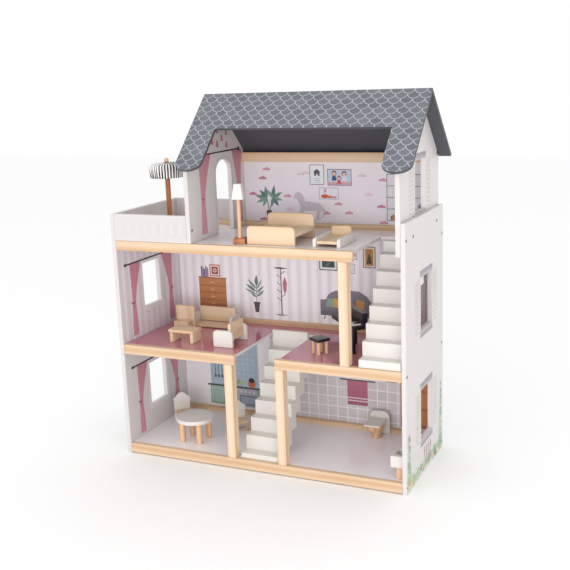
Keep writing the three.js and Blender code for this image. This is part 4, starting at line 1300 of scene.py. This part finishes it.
def toilet_bowl():
    """A bowl that swells upwards and forwards from a narrow foot."""
    low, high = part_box("toilet_bowl")
    centre = foot_of("toilet_bowl")
    width = (high.x - low.x) / 2 / MM
    stretch = (high.y - low.y) / (high.x - low.x)
    height = (high.z - low.z) / MM
    foot = [(0, 0), (width * 0.55, 0), (width * 0.57, 0.8)]
    swells = ((0.58, 0.26), (0.68, 0.42), (0.86, 0.58), (0.97, 0.72), (1.0, 0.84))
    flank = [(width * out, height * up) for out, up in swells]
    rim = [(width, height - 0.8), (width - 0.6, height), (0, height)]
    bm = turned(foot + flank + rim, 48)
    bmesh.ops.scale(bm, vec=(1, stretch, 1), verts=bm.verts)
    for vert in bm.verts:
        vert.co.y += 6 * MM * (1 - vert.co.z / (high.z - low.z))
    pan = moved(bm, Matrix.Translation(centre))
    settle("toilet_pan", pan, BEECH_Z, "toilet", "plywood", ["toilet_bowl"])


def washbasin():
    """The white basin with its bowl, on a wooden pedestal."""
    low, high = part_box("washbasin")
    bm = copied("washbasin")
    cut_at = low.z + 22 * MM
    bmesh.ops.bisect_plane(
        bm, geom=[*bm.verts, *bm.edges, *bm.faces], clear_inner=True,
        plane_co=(0, 0, cut_at), plane_no=(0, 0, 1),
    )
    bmesh.ops.holes_fill(bm, edges=[e for e in bm.edges if e.is_boundary])
    bmesh.ops.recalc_face_normals(bm, faces=bm.faces)
    soften(bm, 1.0 * MM)
    settle("washbasin_bowl", bm, WHITE_WOOD, "washbasin", "white_wood", ["washbasin"])
    size = (high - low) / MM
    pedestal = block((size.x - 14, 2, 0), (size.x, 34, 21.7), 0.8)
    settle("washbasin_foot", moved(pedestal, Matrix.Translation(low)), BEECH_Z, "washbasin", "plywood")


def furniture():
    boxed_furniture()
    lamp()
    dining_table()
    dining_chairs()
    stool()
    piano_keys()
    toilet_bowl()
    washbasin()
    parasol()


# ---------------------------------------------------------------- studio

def studio():
    """Pale floor, soft light from above, the front and the right, and a camera off the right front corner."""
    scene = bpy.context.scene
    scene.view_settings.view_transform = "Standard"
    floor = bmesh.new()
    bmesh.ops.create_grid(floor, x_segments=2, y_segments=2, size=6.0)
    mesh = bpy.data.meshes.new("studio_floor")
    floor.to_mesh(mesh)
    floor.free()
    ground = bpy.data.objects.new("studio_floor", mesh)
    scene.collection.objects.link(ground)
    matt = Paint("studio_white", Base_Color=(0.97, 0.97, 0.97, 1), Roughness=0.9)
    mesh.materials.append(matt.material)

    world = bpy.data.worlds.new("studio_sky")
    world.use_nodes = True
    sky = world.node_tree.nodes["Background"]
    sky.inputs["Color"].default_value = (1, 1, 1, 1)
    sky.inputs["Strength"].default_value = 1.0
    scene.world = world

    def softbox(name, place, target, size, power):
        light = bpy.data.lights.new(name, "AREA")
        light.shape = "RECTANGLE"
        light.size, light.size_y = size
        light.energy = power
        lamp_object = bpy.data.objects.new(name, light)
        scene.collection.objects.link(lamp_object)
        lamp_object.location = place
        aim = Vector(target) - Vector(place)
        lamp_object.rotation_euler = aim.to_track_quat("-Z", "Y").to_euler()

    softbox("key_softbox", (-0.6, -2.4, 2.0), (0, 0, 0.35), (2.2, 2.0), 5)
    softbox("front_softbox", (0.7, -2.6, 0.35), (0, 0, 0.25), (2.4, 0.7), 17)
    softbox("side_softbox", (1.5, -1.7, 0.45), (-0.25, 0.05, 0.2), (1.2, 1.0), 7)

    data = bpy.data.cameras.new("camera")
    data.lens = 58.8
    data.sensor_width = 36.0
    data.shift_x, data.shift_y = -0.0028, 0.0021
    camera = bpy.data.objects.new("camera", data)
    scene.collection.objects.link(camera)
    camera.location = (0.73748, -1.57559, 0.73173)
    yaw, pitch, roll = (math.radians(a) for a in (24.71, 12.85, -2.10))
    level_ahead = Vector((-math.sin(yaw), math.cos(yaw), 0)) * math.cos(pitch)
    ahead = level_ahead + Vector((0, 0, -math.sin(pitch)))
    right = Vector((math.cos(yaw), math.sin(yaw), 0))
    up = right.cross(ahead)
    tilted_right = right * math.cos(roll) + up * math.sin(roll)
    tilted_up = up * math.cos(roll) - right * math.sin(roll)
    axes = Matrix((tilted_right, tilted_up, -ahead)).transposed()
    camera.rotation_mode = "QUATERNION"
    camera.rotation_quaternion = axes.to_quaternion()
    scene.camera = camera


house_boards()
screws()
attic_prints()
living_room_prints()
kitchen_prints()
left_wall_prints()
left_gable_prints()
outer_wall_prints()
balcony_prints()
furniture()
studio()
